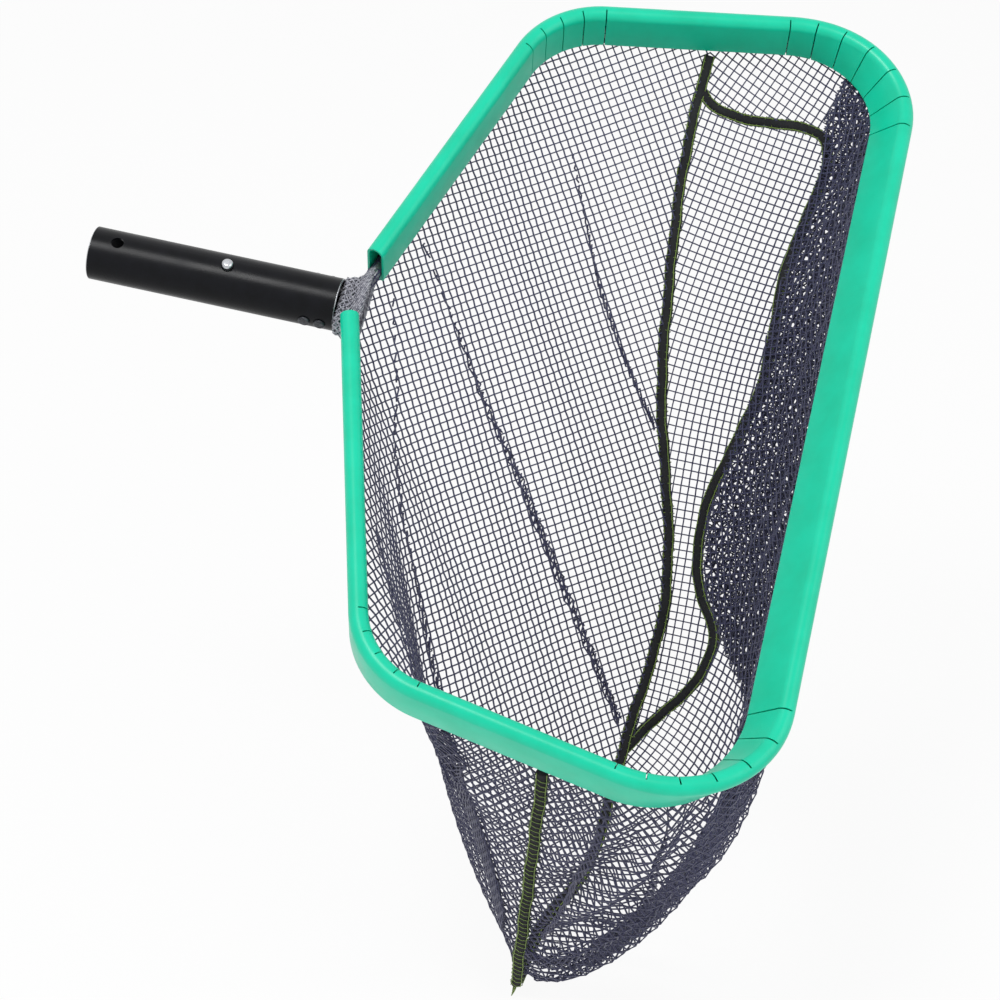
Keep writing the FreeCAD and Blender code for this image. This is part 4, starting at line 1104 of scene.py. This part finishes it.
class SKIMMER_OT_seams(bpy.types.Operator):
    """Sew the tape bindings with their overlock thread"""

    bl_idname = "skimmer.seams"
    bl_label = "Seam Bindings"

    def execute(self, context):
        settings = context.scene.skimmer_seams
        lint, pale_green = from_screen(40, 42, 48), from_screen(150, 176, 84)
        tape = finish_material("binding_tape", settings.tape_colour, lint, 1500, 0.5, 0.75, 0.9, 5000, 0.8)
        green = settings.stitch_colour
        thread = finish_material(
            "overlock_thread", green, pale_green, 1800, 0.8, 0.5, 0.7, 5000, 0.5, Sheen_Weight=0.3)
        tip_share = TIP_INDEX / (DIVISIONS - 1)
        u, shares = SEAM_CURVE[8:-8].T
        gusset = FRONT_NET.at(u, shares)
        far = pick(SIDE_SEAM, np.linspace(BINDING_INSET, tip_share, 240))
        near = pick(SIDE_SEAM, np.linspace(tip_share, 1 - BINDING_INSET, 120))
        seams = [
            ("binding_far", "side_seam_far", far, seam_outward(far)),
            ("binding_near", "side_seam_near", near, seam_outward(near)),
            ("binding_gusset", "gusset_seam", gusset, cloth_outward(u, shares)),
        ]
        for name, node, line, outer in seams:
            self.bind(name, node, line, outer, settings, tape, thread)
        return {"FINISHED"}

    def bind(self, name, node, line, outer, settings, tape, thread):
        """Roll the tape round one seam, and sew it."""
        count = max(30, int(lengths_of(line)[-1] / BINDING_SPACING))
        both = evenly(np.concatenate([line, unit(outer)], axis=1), count)
        line, outer = both[:, :3], both[:, 3:]
        way = unit(np.gradient(line, axis=0))
        out = unit(outer - way * np.sum(outer * way, axis=1, keepdims=True))
        across = np.cross(way, out)
        along = lengths_of(line)
        rng = np.random.default_rng(len(line))
        half, tall = settings.tape_width / 2, settings.tape_thickness
        middle = tall - BINDING_TUCK
        wave = sum(np.sin(along / (length * MM)) * depth for depth, length in BINDING_WAVES)[:, None] * MM
        angles = np.arange(BINDING_SIDES) * (2 * math.pi / BINDING_SIDES)
        fuzz = 1 + rng.uniform(-BINDING_FUZZ, BINDING_FUZZ, (len(line), BINDING_SIDES, 1))
        section = (
            across[:, None] * (half * np.cos(angles))[None, :, None]
            + out[:, None] * (tall * np.sin(angles))[None, :, None]
        )
        stock = MeshStock()
        stock.rings(line[:, None] + fuzz * section + (across * wave + out * middle)[:, None])
        stock.build(name, tape, "binding", node)
        self.sew(name + "_stitches", line, across, out, wave, (half, tall, middle), settings, thread)

    def sew(self, name, line, across, out, wave, section, settings, thread):
        """Overlock stitches round a binding, with the rows of thread that hold them."""
        half, tall, middle = section
        along = lengths_of(line)
        stock = MeshStock()
        for angle in np.radians(RAIL_ANGLES):
            reach = half * RAIL_STAND * math.cos(angle)
            lift = middle + tall * RAIL_STAND * math.sin(angle)
            stock.tube(line + across * (wave + reach) + out * lift, out, STITCH_RADIUS * 1.5)
        count = int(along[-1] / settings.stitch_pitch)
        places = [(k + share) * settings.stitch_pitch for k in range(count) for _, share in STITCH_PATH]
        turns = np.radians([angle for angle, _ in STITCH_PATH] * count)
        spots = between_rows(places, along, np.concatenate([line, across, out, wave], axis=1))
        middles, sideways, outwards, waves = np.split(spots, [3, 6, 9], axis=1)
        rng = np.random.default_rng(count)
        stand = (1.1 + rng.uniform(-0.08, 0.16, len(turns)))[:, None]
        side = sideways * (half * np.cos(turns))[:, None]
        lift = outwards * (tall * np.sin(turns))[:, None]
        points = middles + sideways * waves + outwards * middle + (side + lift) * stand
        stock.tube(points, unit(side + lift), STITCH_RADIUS)
        stock.build(name, thread, "binding")


class SKIMMER_OT_tail(bpy.types.Operator):
    """Knot the loose thread ends at the bag's lowest point"""

    bl_idname = "skimmer.tail"
    bl_label = "Thread Tail"

    def execute(self, context):
        material = bpy.data.materials["overlock_thread"]
        way = unit(SIDE_SEAM[TIP_INDEX] - SIDE_SEAM[TIP_INDEX - 4])
        side = unit(np.cross(way, vec(0, 0, 1)))
        lift = np.cross(side, way)
        steps = np.linspace(0, 1, 9)[:, None]
        taper = np.linspace(1, 0.6, len(steps))
        stock = MeshStock()
        for k in range(TAIL_THREADS):
            angle = 2 * math.pi * k / TAIL_THREADS
            spread = side * math.cos(angle) + lift * math.sin(angle)
            reach = (6.0 + 0.45 * k) * MM
            line = TIP + way * steps * reach + spread * (0.9 * MM * np.sin(steps * math.pi * 0.8 + 0.4))
            stock.tube(line, spread, 0.3 * MM, taper)
        stock.build("thread_tail", material, "binding", "seam_tail")
        return {"FINISHED"}


def guard_section():
    """Outer and inner points of the guard's section in pairs, across and up from the rod, from lip to lip."""
    low = -GUARD_DROP
    seat = -math.sqrt(GUARD_INNER ** 2 - GUARD_LIP ** 2)
    corner = GUARD_HALF - GUARD_EDGE
    lower = [((GUARD_LIP, low), (GUARD_LIP, seat)), ((corner, low), (GUARD_INNER * 0.6, -GUARD_INNER * 0.8))]
    for angle in np.radians([-60, -30, 0]):
        outer = (corner + GUARD_EDGE * math.cos(angle), low + GUARD_EDGE * (1 + math.sin(angle)))
        inner = (GUARD_INNER * math.cos(angle * 0.7), GUARD_INNER * math.sin(angle * 0.7))
        lower.append((outer, inner))
    lower.append(((GUARD_HALF, GUARD_DOME * 0.5), (GUARD_INNER, GUARD_DOME * 0.5)))
    crest = []
    for angle in np.radians(np.linspace(0, 180, 17)):
        c, s = math.cos(angle), math.sin(angle)
        crest.append([(radius * c, GUARD_DOME + radius * s) for radius in (GUARD_HALF, GUARD_INNER)])
    other = [tuple((-x, z) for x, z in pair) for pair in reversed(lower)]
    return np.array(lower + crest + other)


def guard_stations():
    """Stations along the guard, with a mark on those that open a relief slit behind them."""
    shoulder = unit(SHOULDER - APEX)
    first = APEX + shoulder * GUARD_START
    last = APEX + mirrored(shoulder) * GUARD_END
    run = hoop_run(first, CORNERS[1:-1], RADII[1:-1], last)
    places, marks = [station(run[0], 0)], [False]
    for stretch in run:
        piece = stretch[0]
        if len(piece) == 2:
            count = max(2, math.ceil(np.linalg.norm(piece[1] - piece[0]) / GUARD_SPACING))
            shares = [step / count for step in range(1, count)]
            opens = [False] * len(shares)
        else:
            spoke = piece[0] - piece[2]
            angle = math.acos(np.clip(unit(spoke) @ unit(piece[1] - piece[2]), -1, 1))
            length = angle * np.linalg.norm(spoke)
            count = round(length / SLIT_PITCH)
            shares, opens = [], []
            for k in range(count + 1):
                shares += [k / count - SLIT_HALF / length, k / count + SLIT_HALF / length]
                opens += [True, False]
                if k < count:
                    shares += [(k + step / SLIT_STEPS) / count for step in range(1, SLIT_STEPS)]
                    opens += [False] * (SLIT_STEPS - 1)
        places += [station(stretch, share) for share in shares]
        marks += opens
    places.append(station(run[-1], 1))
    return np.array(places), marks


class SKIMMER_OT_guard(bpy.types.Operator):
    """Shape the green edge guard, with its slit inner wall, and give it its plastic"""

    bl_idname = "skimmer.guard"
    bl_label = "Edge Guard"

    def execute(self, context):
        settings = context.scene.skimmer_guard
        material = finish_material(
            "guard_plastic", settings.plastic_colour, from_screen(4, 178, 132), 45, 0.35, settings.gloss,
            settings.gloss + 0.1, 1400, 0.06, Specular_IOR_Level=0.4,
        )
        lay_material("edge_guard", material)
        stock = MeshStock()
        section = guard_section()
        places, marks = guard_stations()
        centre, across, up = places[:, None, 0], places[:, None, 1], places[:, None, 2]
        skins = [centre + across * skin[:, :1] + up * skin[:, 1:] for skin in section.swapaxes(0, 1)]
        stock.shell(skins, lambda i, j: not (marks[i] and section[j:j + 2, 0, 0].max() < 1e-6))
        piece = stock.build("guard_shell", material, "guard", "edge_guard")
        piece.data.set_sharp_from_angle(angle=math.radians(40))
        return {"FINISHED"}


class SKIMMER_OT_handle(bpy.types.Operator):
    """Finish the handle tube, the hoop rod, the rivets, the spring clip and the lock buttons"""

    bl_idname = "skimmer.handle"
    bl_label = "Handle"

    def execute(self, context):
        settings = context.scene.skimmer_handle
        dust, wear_and_sheen, scuff = from_screen(20, 21, 28), from_screen(110, 112, 118), from_screen(120, 122, 128)
        coat = settings.coat_colour
        coated = finish_material(
            "coated_tube", coat, dust, 120, 0.5, 0.26, 0.36, 1800, 0.1, Specular_IOR_Level=0.15)
        self.bare_ends(coated, settings)
        lay_material("handle_tube", coated)
        lay_material("frame_rod", finish_material(
            "bare_rod", settings.bare_colour, scuff, 300, 0.5, 0.3, 0.5, 1500, 0.2, Metallic=1.0))
        lay_material("leg_rivets", finish_material(
            "dark_rivet", from_screen(34, 35, 40), wear_and_sheen, 500, 0.5, 0.3, 0.45, 2500, 0.3, Metallic=0.6))
        dull = from_screen(140, 142, 148)
        steel = finish_material(
            "spring_steel", settings.steel_colour, dull, 400, 0.4, 0.18, 0.34, 2500, 0.15, Metallic=1.0)
        for node in ("spring_clip", "lock_button_top", "lock_button_bottom"):
            lay_material(node, steel)
        return {"FINISHED"}

    def bare_ends(self, material, settings):
        """Show cut metal at the tube's two ends, where the coating stops."""
        tree = material.node_tree
        shader = next(node for node in tree.nodes if node.type == "BSDF_PRINCIPLED")
        place = add_node(tree, "ShaderNodeTexCoord").outputs["Object"]
        along = add_node(tree, "ShaderNodeSeparateXYZ", {"Vector": place}).outputs["X"]
        far_end = worked_out(tree, "LESS_THAN", along, BARE_EDGE)
        mouth = worked_out(tree, "GREATER_THAN", along, MOUTH_X - BARE_EDGE)
        either = worked_out(tree, "MAXIMUM", far_end, mouth)
        coating = tree.nodes["flecks"].outputs["Colour"]
        colour = mixed_colour(tree, either, coating, (*settings.bare_colour, 1))
        tree.links.new(colour, shader.inputs["Base Color"])
        tree.links.new(either, shader.inputs["Metallic"])


# The camera that gives the photograph's view, and lamps as (name, place, side, share of the key lamp's power)
CAMERA_PLACE = (0.3713, -1.2541, 0.6475)
CAMERA_RIGHT = (0.9727, 0.1858, 0.1392)
CAMERA_UP = (-0.2136, 0.4817, 0.8499)
CAMERA_LENS = 96.2
LAMPS = [("key_lamp", (-0.5, -1.0, 2.0), 0.8, 1.0), ("fill_lamp", (1.8, -0.6, 1.2), 1.6, 0.4)]
LAMP_AIM = (0.28, 0, -0.08)
FLOOR_GLOW = 0.9
WORLD_LIGHT = 0.5


class SKIMMER_OT_stage(bpy.types.Operator):
    """Set the camera, the lamps and the pale floor"""

    bl_idname = "skimmer.stage"
    bl_label = "Stage"

    def execute(self, context):
        settings = context.scene.skimmer_stage
        scene = context.scene
        scene.view_settings.view_transform = "Standard"
        self.camera(scene)
        self.floor(settings)
        self.world(scene)
        for name, place, side, share in LAMPS:
            self.lamp(name, place, side, settings.lamp_power * share)
        return {"FINISHED"}

    def camera(self, scene):
        """The camera, turned by its right and up directions."""
        data = bpy.data.cameras.new("camera")
        data.sensor_width = 36.0
        data.lens = CAMERA_LENS
        camera = placed("camera", data)
        right = Vector(CAMERA_RIGHT).normalized()
        up = Vector(CAMERA_UP)
        up = (up - right * up.dot(right)).normalized()
        turn = Matrix((right, up, right.cross(up))).transposed()
        camera.matrix_world = Matrix.Translation(CAMERA_PLACE) @ turn.to_4x4()
        scene.camera = camera

    def floor(self, settings):
        """A pale floor that looks white and keeps the net's shadow."""
        side = settings.floor_size / 2
        level = CAD_BOX[0][2] - settings.floor_drop
        corners = [(-side, -side, level), (side, -side, level), (side, side, level), (-side, side, level)]
        mesh = bpy.data.meshes.new("floor")
        mesh.from_pydata(corners, [], [(0, 1, 2, 3)])
        floor = placed("floor", mesh)
        material = bpy.data.materials.new("floor")
        tree = empty_tree(material)
        colour = (*settings.floor_colour, 1)
        matt = add_node(tree, "ShaderNodeBsdfDiffuse", {"Color": colour})
        glow = add_node(tree, "ShaderNodeEmission", {"Color": colour})
        share = worked_out(tree, "MULTIPLY", background_rays(tree), FLOOR_GLOW)
        layers = {0: share, 1: matt.outputs["BSDF"], 2: glow.outputs["Emission"]}
        mix = add_node(tree, "ShaderNodeMixShader", layers)
        add_node(tree, "ShaderNodeOutputMaterial", {"Surface": mix.outputs["Shader"]})
        mesh.materials.append(material)

    def world(self, scene):
        """Soft light from all round, behind a white background."""
        scene.world = bpy.data.worlds.new("world")
        tree = empty_tree(scene.world)
        level = add_node(tree, "ShaderNodeMapRange", {
            "Value": background_rays(tree), "To Min": WORLD_LIGHT, "To Max": 1.0,
        })
        white = {"Color": (1, 1, 1, 1), "Strength": level.outputs["Result"]}
        back = add_node(tree, "ShaderNodeBackground", white)
        add_node(tree, "ShaderNodeOutputWorld", {"Surface": back.outputs["Background"]})

    def lamp(self, name, place, side, power):
        """A square soft lamp that points at the net."""
        data = bpy.data.lights.new(name, "AREA")
        data.energy = power
        data.size = side
        lamp = placed(name, data)
        lamp.location = place
        lamp.rotation_mode = "QUATERNION"
        lamp.rotation_quaternion = (Vector(LAMP_AIM) - Vector(place)).to_track_quat("-Z", "Y")


class SKIMMER_PT_panel(bpy.types.Panel):
    """Lists the skimmer's settings and building steps"""

    bl_idname = "SKIMMER_PT_panel"
    bl_label = "Leaf Skimmer Net"
    bl_space_type = "VIEW_3D"
    bl_region_type = "UI"
    bl_category = "Skimmer"

    def draw(self, context):
        for group, _, operators in SECTIONS:
            box = self.layout.box()
            settings = getattr(context.scene, group)
            for name in settings.__annotations__:
                box.prop(settings, name)
            for operator in operators:
                box.operator(operator.bl_idname)


SECTIONS = [
    ("skimmer_net", NetSettings, [SKIMMER_OT_net, SKIMMER_OT_hem, SKIMMER_OT_neck]),
    ("skimmer_seams", SeamSettings, [SKIMMER_OT_seams, SKIMMER_OT_tail]),
    ("skimmer_guard", GuardSettings, [SKIMMER_OT_guard]),
    ("skimmer_handle", HandleSettings, [SKIMMER_OT_handle]),
    ("skimmer_stage", StageSettings, [SKIMMER_OT_stage]),
]
OPERATORS = [operator for _, _, operators in SECTIONS for operator in operators]


def register():
    for name, settings, _ in SECTIONS:
        bpy.utils.register_class(settings)
        setattr(bpy.types.Scene, name, PointerProperty(type=settings))
    for operator in OPERATORS:
        bpy.utils.register_class(operator)
    bpy.utils.register_class(SKIMMER_PT_panel)


def unregister():
    bpy.utils.unregister_class(SKIMMER_PT_panel)
    for operator in reversed(OPERATORS):
        bpy.utils.unregister_class(operator)
    for name, settings, _ in reversed(SECTIONS):
        delattr(bpy.types.Scene, name)
        bpy.utils.unregister_class(settings)


def main():
    register()
    bpy.ops.skimmer.stage()
    bpy.ops.skimmer.guard()
    bpy.ops.skimmer.handle()
    bpy.ops.skimmer.net()
    bpy.ops.skimmer.hem()
    bpy.ops.skimmer.neck()
    bpy.ops.skimmer.seams()
    bpy.ops.skimmer.tail()


if __name__ == "__main__":
    main()
